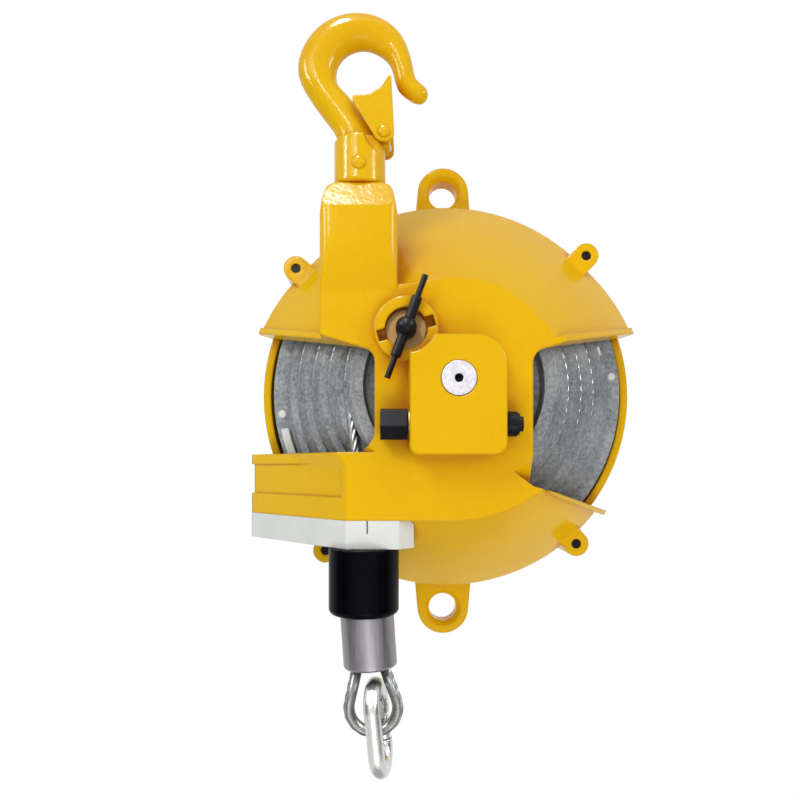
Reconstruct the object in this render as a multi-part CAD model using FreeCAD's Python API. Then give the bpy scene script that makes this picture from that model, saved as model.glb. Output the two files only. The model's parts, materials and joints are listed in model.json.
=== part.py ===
"""Spring tool balancer: a rope drum held up by a mainspring, in a two-piece cast casing.

Millimetres. The working frame has its origin on the drum's axis at the casings' parting face:
X to the right, Y to the rear along the drum's axis, Z up. Each finished piece is then moved so
that the row's origin is the middle of the suspension hook's bowl.
"""
import os
from math import asin, atan2, ceil, cos, degrees, hypot, pi, radians, sin, sqrt, tan

import FreeCAD, Part
from FreeCAD import Matrix, Placement, Rotation, Vector

# ---------------------------------------------------------------- driving dimensions
# running clearances
shaft_play = 0.05        # radial, shaft in its bearings and bushes
seat_play = 0.02         # radial, pieces fixed to each other
gap = 0.3                # between faces of pieces that move past each other

# load line
rope_diameter = 4.8
load_x = -42.2           # the rope's way down, from the drum's axis
load_y = -50.0
swivel_x = -44.0         # the hook's swivel

# drum and rope
rope_start_radius = 49.6     # rope centre where it leaves the drum, fully wound
rope_start_y = -48.0
rope_radial_pitch = 8.7      # the drum grows by this much at each turn
rope_axial_pitch = 9.6
wound_turns = 3.45
groove_play = 0.3
crest_height = 1.2           # land in front of each groove, above the rope's centre
drum_wall = 4.0
drum_front_y = -53.5
flange_radius = 92.0
flange_front_y = -8.0
flange_thickness = 4.0
shoulder_radius = 84.0
drum_hub_radius = 26.0
drum_web_y = -46.0
drum_web_thickness = 8.0
rim_band_radius = 42.5       # inside of the drum's front rim
lock_holes = 8
rivet_ring_radius = 88.0
rivet_count = 6
rivet_radius = 2.4

# spring case and mainspring
case_radius = 82.0
case_wall = 2.5
case_back_y = 44.0
case_back_thickness = 3.0
spring_strip = 1.6
spring_turns = 8
spring_width = 38.0
arbor_radius = 14.0

# bearings 6203
bearing_bore = 17.0
bearing_outer = 40.0
bearing_width = 12.0
ball_count = 7
ball_radius = 3.37
front_bearing_y = -50.0
rear_bearing_y = 46.5

# front casing
wall = 4.0
casing_depth = 61.0          # parting face to the flat front
rim_radius = 101.8
rim_lip = 3.0
front_radius = 48.0          # the flat front's radius
flank_crown = 1.0
lower_front_radius = 62.5    # the flat front reaches further out below
band_top_z = -31.4           # lower band and rope duct, top and bottom
band_bottom_z = -62.8
duct_front_x = -50.0
duct_end_x = -105.4
bridge_left = -36.8          # inner edges of the two windows
bridge_right = 35.4
window_top_z = 16.0          # upper edges, at window_ref_x from the axis
window_ref_x = 41.0
window_top_slope = 0.293
window_low_z = -47.5         # right window's lower edge, at window_low_x
window_low_x = 37.5
window_low_slope = -0.294
lip_height = 4.5
lip_width = 3.5
visor_shift = 6.4            # the flank swells towards the lips by moving this far out and down
band_right = 3.0             # the lower band is straight as far as here
brow_outline = [(-4.0, 47.8), (-35.7, 43.7), (-54.0, 39.0), (-60.0, 33.0), (-60.0, 10.0),
                (-30.0, 10.0)]   # the flat front's shelf between the boss and the left window

# rear casing
rear_radius = 99.0
rear_depth = 70.0
rear_back_radius = 72.0
rear_side_y = 46.0
eye_z = 119.0
eye_y = 28.0
eye_hole_radius = 8.0
eye_end_radius = 14.5
eye_thickness = 15.0
eye_base = 34.0

# ears and their screws
ear_angles = (45.0, 140.0, 232.0, 311.0)
ear_bolt_radius = 104.5
ear_width = 13.0
ear_depth = 10.0
screw_radius = 2.5
screw_head_radius = 4.25
screw_head_height = 5.0

# gearbox
box_left = -21.0
box_right = 20.7
box_top = 18.9
box_bottom = -32.7
box_depth = 79.0             # parting face to the gearbox's front
gear_module = 1.25
wheel_teeth = 22
wheel_width = 10.0
worm_pitch_radius = 5.5
gear_y = -69.3
backlash = 0.2
worm_thread_length = 23.0
hex_flats = 13.0
hex_length = 12.0
hex_start_x = -22.0
stub_radius = 3.4
stub_end_x = 29.0
journal_radius = 4.5
shaft_end_radius = 7.5
cover_thickness = 3.0

# drum lock
lock_x = -22.5
lock_z = 23.9
lock_face_y = -67.0
lock_pad_radius = 14.5
pocket_radius = 9.5
pocket_floor_y = -61.0
lock_slot_angle = 16.0
lock_slot_half = 13.2
lock_slot_width = 5.2
lock_boss_radius = 8.0
pin_radius = 3.5
pin_tip_y = -46.6
pin_travel = 6.5
handle_angle = 69.5
handle_half = 24.3
handle_rod_radius = 1.35
handle_sleeve_radius = 2.3
handle_sleeve_half = 14.0
handle_head_radius = 4.3

# hanger and hook
hanger_left = -61.8
hanger_right = -26.3
hanger_front_y = -65.0
hanger_back_y = -33.0
hanger_swell_z = (42.0, 66.0)    # the boss swells from the flat front between these heights
hanger_crease_z = 79.5           # its top slopes back above here
hanger_slope = 5.5
hanger_shoulder_z = 77.0
hanger_shoulder_inset = 3.2
hanger_edge_radius = 4.5
hanger_top_z = 92.0
stud_radius = 6.5
stud_head_radius = 10.0
stud_head_height = 6.0
barrel_radius = 12.0
barrel_height = 22.0
bowl_z = 145.5
bowl_radius = 12.87
latch_pivot_x = -32.6
latch_pivot_z = 115.2
latch_sheet = 1.5
latch_inside = 16.8

# rope guide, bumper, ferrule, eye
guide_height = 13.0
guide_right = -18.7
guide_width = 27.0
guide_slot = 9.0
bumper_radius = 16.5
bumper_height = 31.2
ferrule_radius = 12.6
ferrule_end_z = -132.0
lean_angle = 3.9             # the eye and link lie over to the side by this much
lean_side = 1.0          # and stands this far to the side where it begins
eye_centre_z = -151.5
thimble_inner = 8.4
thimble_sheet = 1.0
thimble_half_width = 3.8
teardrop_angle = 16.6

# snap link
link_rod = 3.85
link_half = 9.6
link_top_z = -151.0
link_bottom_z = -171.0
link_turn = 10.0
link_side = 1.7
link_lean = 1.7          # more than the eye's own
gate_top_z = -153.0
gate_end_z = -169.5

axis_y = Vector(0, 1, 0)
axis_z = Vector(0, 0, 1)
rope_radius = rope_diameter / 2
rope_slope = rope_radial_pitch / rope_axial_pitch
origin = Vector(load_x, load_y, bowl_z)


# ---------------------------------------------------------------- shape helpers
def box(x0, x1, y0, y1, z0, z1):
    return Part.makeBox(x1 - x0, y1 - y0, z1 - z0, Vector(x0, y0, z0))


def along_y(radius, y0, y1, x=0, z=0):
    return Part.makeCylinder(radius, y1 - y0, Vector(x, y0, z), axis_y)


def along_x(radius, x0, x1, y=0, z=0):
    return Part.makeCylinder(radius, x1 - x0, Vector(x0, y, z), Vector(1, 0, 0))


def along_z(radius, z0, z1, x=0, y=0):
    return Part.makeCylinder(radius, z1 - z0, Vector(x, y, z0))


def ring_y(inner, outer, y0, y1, x=0, z=0):
    return along_y(outer, y0, y1, x, z).cut(along_y(inner, y0 - 1, y1 + 1, x, z))


def closed_wire(points):
    return Part.makePolygon(list(points) + [points[0]])


def rounded_wire(points, radii):
    """A closed polygon with a tangent arc at each corner that has a radius."""
    edges = []
    count = len(points)
    starts, ends, mids = [], [], []
    for i, (point, radius) in enumerate(zip(points, radii)):
        back = (points[i - 1] - point).normalize()
        ahead = (points[(i + 1) % count] - point).normalize()
        half = back.getAngle(ahead) / 2
        if radius == 0:
            starts.append(point)
            ends.append(point)
            mids.append(None)
            continue
        reach = radius / tan(half)
        middle = (back + ahead).normalize()
        starts.append(point + back * reach)
        ends.append(point + ahead * reach)
        mids.append(point + middle * (radius / sin(half) - radius))
    for i in range(count):
        if mids[i] is not None:
            edges.append(Part.Arc(starts[i], mids[i], ends[i]).toShape())
        if (starts[(i + 1) % count] - ends[i]).Length > 1e-6:
            edges.append(Part.LineSegment(ends[i], starts[(i + 1) % count]).toShape())
    return Part.Wire(edges)


def prism_y(points, y0, y1, radii=None):
    """An outline in X and Z, from y0 to y1."""
    corners = [Vector(x, y0, z) for x, z in points]
    wire = rounded_wire(corners, radii) if radii else closed_wire(corners)
    return Part.Face(wire).extrude(Vector(0, y1 - y0, 0))


def prism_z(points, z0, z1, radii=None):
    """An outline in X and Y, from z0 to z1."""
    corners = [Vector(x, y, z0) for x, y in points]
    wire = rounded_wire(corners, radii) if radii else closed_wire(corners)
    return Part.Face(wire).extrude(Vector(0, 0, z1 - z0))


def turned(profile):
    """A profile of (radius, y) points, turned about the drum's axis."""
    wire = closed_wire([Vector(r, y, 0) for r, y in profile])
    return Part.Face(wire).revolve(Vector(0, 0, 0), axis_y, 360)


def union(shapes):
    first, rest = shapes[0], shapes[1:]
    return first.multiFuse(rest).removeSplitter() if rest else first


def less(shape, cutters):
    return shape.cut(Part.makeCompound(cutters)) if cutters else shape


def single(shape):
    """The one solid of a shape that a boolean left as a compound."""
    solids = sorted(shape.Solids, key=lambda solid: -solid.Volume)
    return solids[0]


def polar(radius, angle_deg):
    """X and Z at an angle from +X towards +Z."""
    return radius * cos(radians(angle_deg)), radius * sin(radians(angle_deg))


def turn_y(shape, angle_deg, x=0, z=0):
    """Turned about Y, from +X towards +Z, about the point x, z."""
    copy = shape.copy()
    copy.rotate(Vector(x, 0, z), axis_y, -angle_deg)
    return copy


def helix_frame(axial, start_axis, origin_point):
    """Places a helix made along local Z, with its start on local X."""
    side = axial.cross(start_axis)
    matrix = Matrix(
        start_axis.x, side.x, axial.x, origin_point.x,
        start_axis.y, side.y, axial.y, origin_point.y,
        start_axis.z, side.z, axial.z, origin_point.z,
        0, 0, 0, 1,
    )
    return Placement(matrix)


# ---------------------------------------------------------------- casings
flank_half_angle = degrees(atan2(rim_radius - front_radius, casing_depth - rim_lip))


def casing_form(flat_radius, inset):
    """The front casing's outer form, drawn in by inset: a flat, a crowned flank and a lip."""
    angle = atan2(rim_radius - flat_radius, casing_depth - rim_lip)
    front = -casing_depth + inset
    flat = flat_radius - inset * cos(angle) + inset * (1 - sin(angle)) * tan(angle)
    rim = rim_radius - inset
    lip_y = front + (rim - flat) / tan(angle)
    lip_y = min(lip_y, -0.5)
    rim = flat + (lip_y - front) * tan(angle)
    crown = Vector((flat + rim) / 2 + flank_crown * cos(angle),
                   (front + lip_y) / 2 - flank_crown * sin(angle), 0)
    points = [Vector(0, front, 0), Vector(flat, front, 0), Vector(rim, lip_y, 0),
              Vector(rim, 0, 0), Vector(0, 0, 0)]
    edges = [Part.LineSegment(points[0], points[1]).toShape(),
             Part.Arc(points[1], crown, points[2]).toShape(),
             Part.LineSegment(points[2], points[3]).toShape(),
             Part.LineSegment(points[3], points[4]).toShape(),
             Part.LineSegment(points[4], points[0]).toShape()]
    return Part.Face(Part.Wire(edges)).revolve(Vector(0, 0, 0), axis_y, 360)


def window_line(x):
    """Height of a window's upper edge."""
    return window_top_z + (abs(x) - window_ref_x) * window_top_slope


def low_line(x):
    """Height of the right window's lower edge."""
    return window_low_z + (x - window_low_x) * window_low_slope


far = 130.0


def left_window(y0, y1):
    outline = [(bridge_left, band_top_z), (bridge_left, window_line(bridge_left)),
               (-far, window_line(far)), (-far, band_top_z)]
    return prism_y(outline, y0, y1, [10.0, 6.0, 0, 0])


def right_window(y0, y1):
    outline = [(bridge_right, low_line(bridge_right)), (far, low_line(far)),
               (far, window_line(far)), (bridge_right, window_line(bridge_right))]
    return prism_y(outline, y0, y1, [3.0, 0, 0, 7.0])


def lower_sector():
    """The part of the casing below the windows, where the front is wider."""
    outline = [(-far, band_top_z), (bridge_left, band_top_z), (0, -20.0),
               (bridge_right, low_line(bridge_right)), (far, low_line(far)), (far, -far),
               (-far, -far)]
    return prism_y(outline, -casing_depth - 1, 1)


duct_angle = degrees(atan2(duct_front_x - duct_end_x, casing_depth))


def duct_outline(inset, front_inset):
    """The rope duct in plan: a slanted outer wall from the flat front to the parting face."""
    slant = hypot(duct_end_x - duct_front_x, casing_depth)
    shift = inset * slant / casing_depth
    front_y = -casing_depth + front_inset
    front_x = duct_front_x + shift - front_inset * tan(radians(duct_angle))
    back_x = duct_end_x + shift
    return front_x, front_y, back_x


def duct_body():
    front_x, front_y, back_x = duct_outline(0, 0)
    outline = [(front_x, front_y), (bridge_left + 4, front_y), (-50.0, 0), (back_x, 0)]
    body = prism_z(outline, band_bottom_z, band_top_z)
    # a shallow panel between two ridges on the slanted wall
    slope = Vector(duct_end_x - duct_front_x, casing_depth, 0).normalize()
    normal = Vector(-slope.y, slope.x, 0)
    start = Vector(duct_front_x, -casing_depth, band_top_z) + slope * 2.5
    panel_height = 15.5
    panel = [start + normal * 1.0, start + slope * 200 + normal * 1.0,
             start + slope * 200 - normal * 1.1, start - normal * 1.1 + slope * 1.5]
    face = Part.Face(closed_wire([p - axis_z * 5.2 for p in panel]))
    return body.cut(face.extrude(Vector(0, 0, -panel_height)))


def duct_hollow():
    front_x, front_y, back_x = duct_outline(wall, wall)
    back_y = -wall + 0.5
    back_x = back_x + back_y * (duct_end_x - duct_front_x) / casing_depth
    right = guide_right - 7.0
    outline = [(front_x, front_y), (right, front_y), (right, -36.0), (-48.0, back_y),
               (back_x, back_y)]
    return prism_z(outline, band_bottom_z - 1, band_top_z + 1)


def window_lips():
    """Raised lips along the windows' edges, standing out of the crowned flank."""
    skin = casing_form(front_radius, -lip_height).cut(casing_form(front_radius, 1.0))
    low_skin = casing_form(lower_front_radius, -lip_height)
    low_skin = low_skin.cut(casing_form(lower_front_radius, 1.0))
    depth = [-casing_depth - lip_height - 1, 0]
    right = prism_y([(bridge_right + 2, window_line(bridge_right + 2)), (far, window_line(far)),
                     (far, window_line(far) + lip_width),
                     (bridge_right + 8, window_line(bridge_right + 8) + lip_width)], *depth)
    left = prism_y([(bridge_left - 2, window_line(bridge_left - 2)), (-far, window_line(far)),
                    (-far, window_line(far) + lip_width),
                    (bridge_left - 8, window_line(bridge_left - 8) + lip_width)], *depth)
    low = prism_y([(bridge_right + 6, low_line(bridge_right + 6)), (far, low_line(far)),
                   (far, low_line(far) - lip_width),
                   (bridge_right + 12, low_line(bridge_right + 12) - lip_width * 0.5)], *depth)
    behind_front = box(-far, far, -casing_depth - 0.2, 0, -far, far)
    lips = [skin.common(right), skin.common(left), low_skin.common(low)]
    return [lip.common(behind_front) for lip in lips]


def ear(angle_deg, y0, y1):
    """A rounded lug on the rim, for one casing screw."""
    tip = along_y(ear_width / 2, y0, y1, ear_bolt_radius, 0)
    arm = box(rim_radius - 9, ear_bolt_radius, y0, y1, -ear_width / 2, ear_width / 2)
    return turn_y(tip.fuse(arm), angle_deg)


def ear_cut(angle_deg, radius, y0, y1):
    x, z = polar(ear_bolt_radius, angle_deg)
    return along_y(radius, y0, y1, x, z)


def gearbox_form():
    """The gearbox's raised block, drafted towards its front."""
    draft = 1.2
    back = [Vector(box_left - draft, -front_radius, box_bottom - draft),
            Vector(box_right + draft, -front_radius, box_bottom - draft),
            Vector(box_right + draft, -front_radius, box_top + draft),
            Vector(box_left - draft, -front_radius, box_top + draft)]
    front = [Vector(box_left, -box_depth, box_bottom), Vector(box_right, -box_depth, box_bottom),
             Vector(box_right, -box_depth, box_top), Vector(box_left, -box_depth, box_top)]
    radii = [4.0, 5.0, 13.0, 3.0]
    block = Part.makeLoft([rounded_wire(back, radii), rounded_wire(front, radii)], True, True)
    return block.cut(along_y(lock_pad_radius - 1.5, -box_depth - 1, lock_face_y, lock_x, lock_z))


wheel_pitch_radius = gear_module * wheel_teeth / 2
wheel_tip_radius = wheel_pitch_radius + gear_module
wheel_root_radius = wheel_pitch_radius - 1.25 * gear_module
centre_distance = wheel_pitch_radius + worm_pitch_radius
worm_z = -centre_distance
worm_tip_radius = worm_pitch_radius + gear_module
worm_root_radius = worm_pitch_radius - 1.25 * gear_module
cover_front_y = -casing_depth + 1.0
cover_back_y = cover_front_y + cover_thickness
cover_half_x = 20.0
cover_top = 18.0
cover_bottom = worm_z - worm_tip_radius - 5.5
bush_wall = 2.5


def gearbox_hollow():
    """Room for the wheel and the worm, open to the rear under the gear cover."""
    room = 0.6
    wheel_room = along_y(wheel_tip_radius + room, gear_y - wheel_width / 2 - 0.7, -50.0)
    worm_room = along_x(worm_tip_radius + room, -worm_thread_length / 2 - 2.2,
                        worm_thread_length / 2 + 2.2, gear_y, worm_z)
    half = worm_thread_length / 2 + 2.2
    way_in = box(-half, half, gear_y, -50.0, worm_z - worm_tip_radius - room, 0)
    seat = cover_outline(seat_play * 3, cover_front_y, -50.0)
    return [wheel_room, worm_room, way_in, seat]


def worm_bores():
    left = along_x(journal_radius + bush_wall + seat_play, -far / 3, 0, gear_y, worm_z)
    right = along_x(stub_radius + bush_wall + seat_play, 0, far / 3, gear_y, worm_z)
    return [left, right]


def hanger_boss():
    """The cast column that carries the hook's swivel: it swells out of the flat front, and its
    top slopes back."""
    low, high = hanger_swell_z
    swell = -casing_depth - hanger_front_y
    bend = (swell ** 2 + (high - low) ** 2) / (2 * swell)
    half_angle = asin((high - low) / bend) / 2
    halfway = Vector(0, hanger_front_y + bend * (1 - cos(half_angle)),
                     high - bend * sin(half_angle))
    foot_z = window_top_z
    corners = [Vector(0, hanger_back_y, foot_z), Vector(0, -casing_depth, foot_z),
               Vector(0, -casing_depth, low), Vector(0, hanger_front_y, high),
               Vector(0, hanger_front_y, hanger_crease_z),
               Vector(0, hanger_front_y + hanger_slope, hanger_top_z),
               Vector(0, hanger_back_y - 3.0, hanger_top_z),
               Vector(0, hanger_back_y, hanger_crease_z)]
    edges = [Part.LineSegment(a, b).toShape() for a, b in zip(corners, corners[1:] + corners[:1])]
    edges[2] = Part.Arc(corners[2], halfway, corners[3]).toShape()
    side = Part.Face(Part.Wire(edges))
    side.translate(Vector(hanger_left - 5, 0, 0))
    side = side.extrude(Vector(hanger_right - hanger_left + 10, 0, 0))
    top = hanger_top_z
    inset = hanger_shoulder_inset
    outline = [(hanger_left, foot_z), (hanger_left, hanger_shoulder_z), (hanger_left + inset, top),
               (hanger_right - inset, top), (hanger_right, hanger_shoulder_z),
               (hanger_right, foot_z)]
    front = prism_y(outline, hanger_front_y - 5, hanger_back_y + 5, [0, 8, 6, 6, 8, 0])
    plan = prism_z([(hanger_left, hanger_back_y), (hanger_left, hanger_front_y),
                    (hanger_right, hanger_front_y), (hanger_right, hanger_back_y)],
                   foot_z - 1, top + 1, [0, hanger_edge_radius, hanger_edge_radius, 0])
    return side.common(front).common(plan)


def hanger_pocket():
    """The boss is hollow behind its swell, open to the drum's room."""
    return box(hanger_left + wall, hanger_right - wall, -casing_depth + wall, hanger_back_y - wall,
               window_line(hanger_left) + wall + 2, hanger_room_bottom - 2 * wall)


def brow():
    return prism_y(brow_outline, -casing_depth, hanger_back_y)


def visor(side):
    """The swelling of the flank towards one window's lip."""
    form = casing_form(front_radius, 0)
    form.translate(Vector(side * visor_shift, 0, -visor_shift))
    form = form.cut(casing_form(front_radius, 1.0))
    inner = bridge_right + 2 if side > 0 else bridge_left - 2
    above = prism_y([(inner, window_line(inner)), (side * far, window_line(far)),
                     (side * far, far), (inner, far)], -casing_depth - 1, 0)
    return form.common(above)


stud_head_top = hanger_top_z - 14.0
stud_washer = 1.5
hanger_room_bottom = stud_head_top - stud_head_height - stud_washer - 4.0


def hanger_hollow():
    """The swivel stud's bore, and the room for its head, open to the rear."""
    bore = along_z(stud_radius + shaft_play, hanger_room_bottom, hanger_top_z + 1, swivel_x, load_y)
    half = stud_head_radius + 1.5
    room = box(swivel_x - half, swivel_x + half, load_y - half, hanger_back_y + 1,
               hanger_room_bottom, stud_head_top)
    return [bore, room]


def lock_cuts():
    """The lock's round pocket with its two side slots, and the bore of its bush."""
    pocket = along_y(pocket_radius, lock_face_y - 1, pocket_floor_y, lock_x, lock_z)
    slot = box(-lock_slot_half, lock_slot_half, lock_face_y - 1, pocket_floor_y,
               -lock_slot_width / 2, lock_slot_width / 2)
    slot.translate(Vector(lock_x, 0, lock_z))
    slot = turn_y(slot, lock_slot_angle, lock_x, lock_z)
    bore = along_y(6.0, pocket_floor_y - 1, -40.0, lock_x, lock_z)
    return [pocket, slot, bore]


def front_casing():
    """The cast front: crowned cone, windows, duct, gearbox and hanger boss in one piece."""
    lower = casing_form(lower_front_radius, 0).common(lower_sector())
    pad = along_y(lock_pad_radius, lock_face_y, -casing_depth + 2, lock_x, lock_z)
    ears = [ear(a, -ear_depth, 0) for a in ear_angles]
    band = box(duct_front_x, band_right, -casing_depth, -casing_depth + 20, band_bottom_z,
               band_bottom_z + 18)
    solid = union([casing_form(front_radius, 0), lower, duct_body(), band, gearbox_form(), pad,
                   visor(1), visor(-1), brow(), hanger_boss()] + ears)
    inside = [casing_form(front_radius, wall),
              casing_form(lower_front_radius, wall).common(lower_sector())]
    solid = less(solid, inside)
    solid = less(solid, [left_window(-casing_depth - 5, 5), right_window(-casing_depth - 5, 5)])
    solid = union([solid] + [lip for lip in window_lips()])
    rear_of_hanger = box(hanger_left, hanger_right, load_y + 13, hanger_back_y,
                         hanger_room_bottom - 3, hanger_shoulder_z)
    guide_bosses = [along_z(5.0, band_bottom_z, band_bottom_z + 10, x, y)
                    for x, y in guide_screw_places()]
    lock_boss = along_y(lock_boss_radius, -casing_depth + 1, -casing_depth + wall + 1.6,
                        lock_x, lock_z)
    solid = union([solid, rear_of_hanger, lock_boss] + guide_bosses)
    cutters = gearbox_hollow() + worm_bores() + hanger_hollow() + lock_cuts()
    cutters += [duct_hollow_kept_bosses(), drum_room(), guide_outline(0.1, 0.1), hanger_pocket()]
    cutters += [along_y(shaft_end_radius + shaft_play + 0.25, -box_depth - 1, -50.0)]
    cutters += [ear_cut(angle, screw_radius + seat_play, -ear_depth - 1, 1)
                for angle in ear_angles]
    for x, y in guide_screw_places():
        cutters.append(along_z(2.0, band_bottom_z - 1, band_bottom_z + 8, x, y))
    for x, z in cover_screw_places():
        cutters.append(along_y(1.25 + seat_play, cover_front_y - 6, cover_front_y + 1, x, z))
    return single(less(solid, cutters))


def drum_room():
    """The room the drum turns in, behind the front wall's bosses."""
    return casing_form(front_radius, wall).cut(
        box(-far, far, -far, -casing_depth + wall + 1.6, -far, far))


def duct_hollow_kept_bosses():
    bosses = [along_z(5.0, band_bottom_z, band_bottom_z + 10, x, y)
              for x, y in guide_screw_places()]
    return less(duct_hollow(), bosses)


def rear_form(inset):
    """The rear casing's cup, drawn in by inset."""
    back = rear_depth - inset
    points = [Vector(0, 0, 0), Vector(rear_radius - inset, 0, 0),
              Vector(rear_radius - 3 - inset, rear_side_y, 0), Vector(rear_back_radius, back, 0),
              Vector(0, back, 0)]
    middle = Vector(rear_radius - 10 - inset * 0.8, rear_side_y + 14.5 - inset * 0.4, 0)
    edges = [Part.LineSegment(points[0], points[1]).toShape(),
             Part.LineSegment(points[1], points[2]).toShape(),
             Part.Arc(points[2], middle, points[3]).toShape(),
             Part.LineSegment(points[3], points[4]).toShape(),
             Part.LineSegment(points[4], points[0]).toShape()]
    return Part.Face(Part.Wire(edges)).revolve(Vector(0, 0, 0), axis_y, 360)


def safety_eye(side):
    """A cast eye on the rim's top or bottom, tapering to a round end."""
    y0 = eye_y - eye_thickness / 2
    half = eye_base / 2
    root = rear_radius - 8
    tip = along_y(eye_end_radius, y0, y0 + eye_thickness, 0, side * eye_z)
    rise = eye_z - root
    lean = asin((half - eye_end_radius) / hypot(rise, half - eye_end_radius))
    touch_x = eye_end_radius * cos(lean)
    touch_z = eye_z + eye_end_radius * sin(lean)
    body = prism_y([(-half, side * root), (half, side * root), (touch_x, side * touch_z),
                    (-touch_x, side * touch_z)], y0, y0 + eye_thickness)
    return tip.fuse(body)


def eye_edge_round(side):
    """A torus-like flare that rounds the eye's two rims."""
    flare = 2.5
    y0 = eye_y - eye_thickness / 2
    y1 = y0 + eye_thickness
    front = Part.makeCone(eye_hole_radius + flare, eye_hole_radius, flare,
                          Vector(0, y0, side * eye_z), axis_y)
    back = Part.makeCone(eye_hole_radius, eye_hole_radius + flare, flare,
                         Vector(0, y1 - flare, side * eye_z), axis_y)
    return [front, back]


rear_boss_radius = 17.0
rear_journal_radius = 7.5


def rear_casing():
    """The cast rear cup with the two safety eyes, ribs and the shaft's rear boss."""
    ears = [ear(a, 0, ear_depth) for a in ear_angles]
    eyes = [safety_eye(1), safety_eye(-1)]
    ribs = [turn_y(box(rear_boss_radius - 2, rear_back_radius + 4, rear_depth - 2, rear_depth + 3,
                       -2.5, 2.5), a) for a in range(0, 360, 60)]
    boss = along_y(rear_boss_radius, rear_depth - 8, rear_depth + 6)
    solid = union([rear_form(0)] + ears + eyes + ribs + [boss])
    solid = less(solid, [rear_form(wall)])
    solid = union([solid, along_y(rear_boss_radius, rear_depth - 8.5, rear_depth - 2)])
    cutters = [along_y(rear_journal_radius + shaft_play, 40.0, rear_depth + 10)]
    for side in (1, -1):
        cutters.append(along_y(eye_hole_radius, 0, 60, 0, side * eye_z))
        cutters += eye_edge_round(side)
    for angle in ear_angles:
        cutters += [ear_cut(angle, screw_radius + 0.25, -1, ear_depth + 1),
                    ear_cut(angle, screw_head_radius + 0.2, ear_depth - screw_head_height,
                            ear_depth + 1)]
    return single(less(solid, cutters))


def casing_screws():
    """Socket-head screws, put in from the rear and tapped into the front ears."""
    screws = []
    for angle in ear_angles:
        head = ear_cut(angle, screw_head_radius, ear_depth - screw_head_height, ear_depth - 0.02)
        shank = ear_cut(angle, screw_radius, -ear_depth + 0.8, ear_depth - screw_head_height)
        x, z = polar(ear_bolt_radius, angle)
        socket = hexagon_y(4.0, ear_depth - 2.8, ear_depth + 1, x, z)
        screws.append(single(head.fuse(shank).removeSplitter().cut(socket)))
    return Part.makeCompound(screws)


def hexagon_y(flats, y0, y1, x=0, z=0, start=30.0):
    reach = flats / sqrt(3)
    corners = [(x + reach * cos(radians(start + 60 * i)), z + reach * sin(radians(start + 60 * i)))
               for i in range(6)]
    return prism_y(corners, y0, y1)


# ---------------------------------------------------------------- gearbox
def bush_x(inner, outer, x0, x1):
    return along_x(outer, x0, x1, gear_y, worm_z).cut(
        along_x(inner + shaft_play, x0 - 1, x1 + 1, gear_y, worm_z))


half_thread = worm_thread_length / 2
worm_room_half = half_thread + 2.2


def worm_bushes():
    left = bush_x(journal_radius, journal_radius + bush_wall, box_left - 0.6, -worm_room_half)
    right = bush_x(stub_radius, stub_radius + bush_wall, worm_room_half, box_right + 0.6)
    return Part.makeCompound([left, right])


def worm():
    """A steel worm with a hexagon head for the adjusting spanner."""
    core = along_x(worm_root_radius, -half_thread, half_thread, gear_y, worm_z)
    left = along_x(journal_radius, hex_start_x - 1.0, -half_thread, gear_y, worm_z)
    collar = along_x(journal_radius + 1.6, -worm_room_half + 0.3, -half_thread, gear_y, worm_z)
    right_collar = along_x(journal_radius, half_thread, worm_room_half - 0.3, gear_y, worm_z)
    stub = along_x(stub_radius, half_thread, stub_end_x, gear_y, worm_z)
    reach = hex_flats / sqrt(3)
    corners = [Vector(hex_start_x - hex_length, gear_y + reach * cos(radians(10 + 60 * i)),
                      worm_z + reach * sin(radians(10 + 60 * i))) for i in range(6)]
    head = Part.Face(closed_wire(corners)).extrude(Vector(hex_length, 0, 0))
    body = union([core, left, collar, right_collar, stub, head])
    return single(body.fuse(worm_thread()).removeSplitter())


def worm_thread():
    """One right-hand thread, in mesh with the wheel straight above the worm."""
    pitch = pi * gear_module
    turns = int(worm_thread_length / pitch) - 1
    turns = turns if turns % 2 == 0 else turns - 1
    length = turns * pitch
    flank = tan(radians(20))
    half = pitch / 4 - backlash
    tip = half - gear_module * flank
    deep = worm_root_radius - 0.15
    root = half + (worm_pitch_radius - deep) * flank
    helix = Part.makeHelix(pitch, length, worm_pitch_radius)
    section = closed_wire([Vector(deep, 0, -root), Vector(deep, 0, root),
                           Vector(worm_tip_radius, 0, tip), Vector(worm_tip_radius, 0, -tip)])
    thread = Part.Wire(helix).makePipeShell([section], True, True)
    thread.Placement = helix_frame(Vector(1, 0, 0), axis_z, Vector(-length / 2, gear_y, worm_z))
    return thread


def involute_point(base_radius, radius):
    """The angle at which an involute from base_radius reaches radius."""
    roll = sqrt(max((radius / base_radius) ** 2 - 1, 0))
    return roll - atan2(roll, 1)


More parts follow.
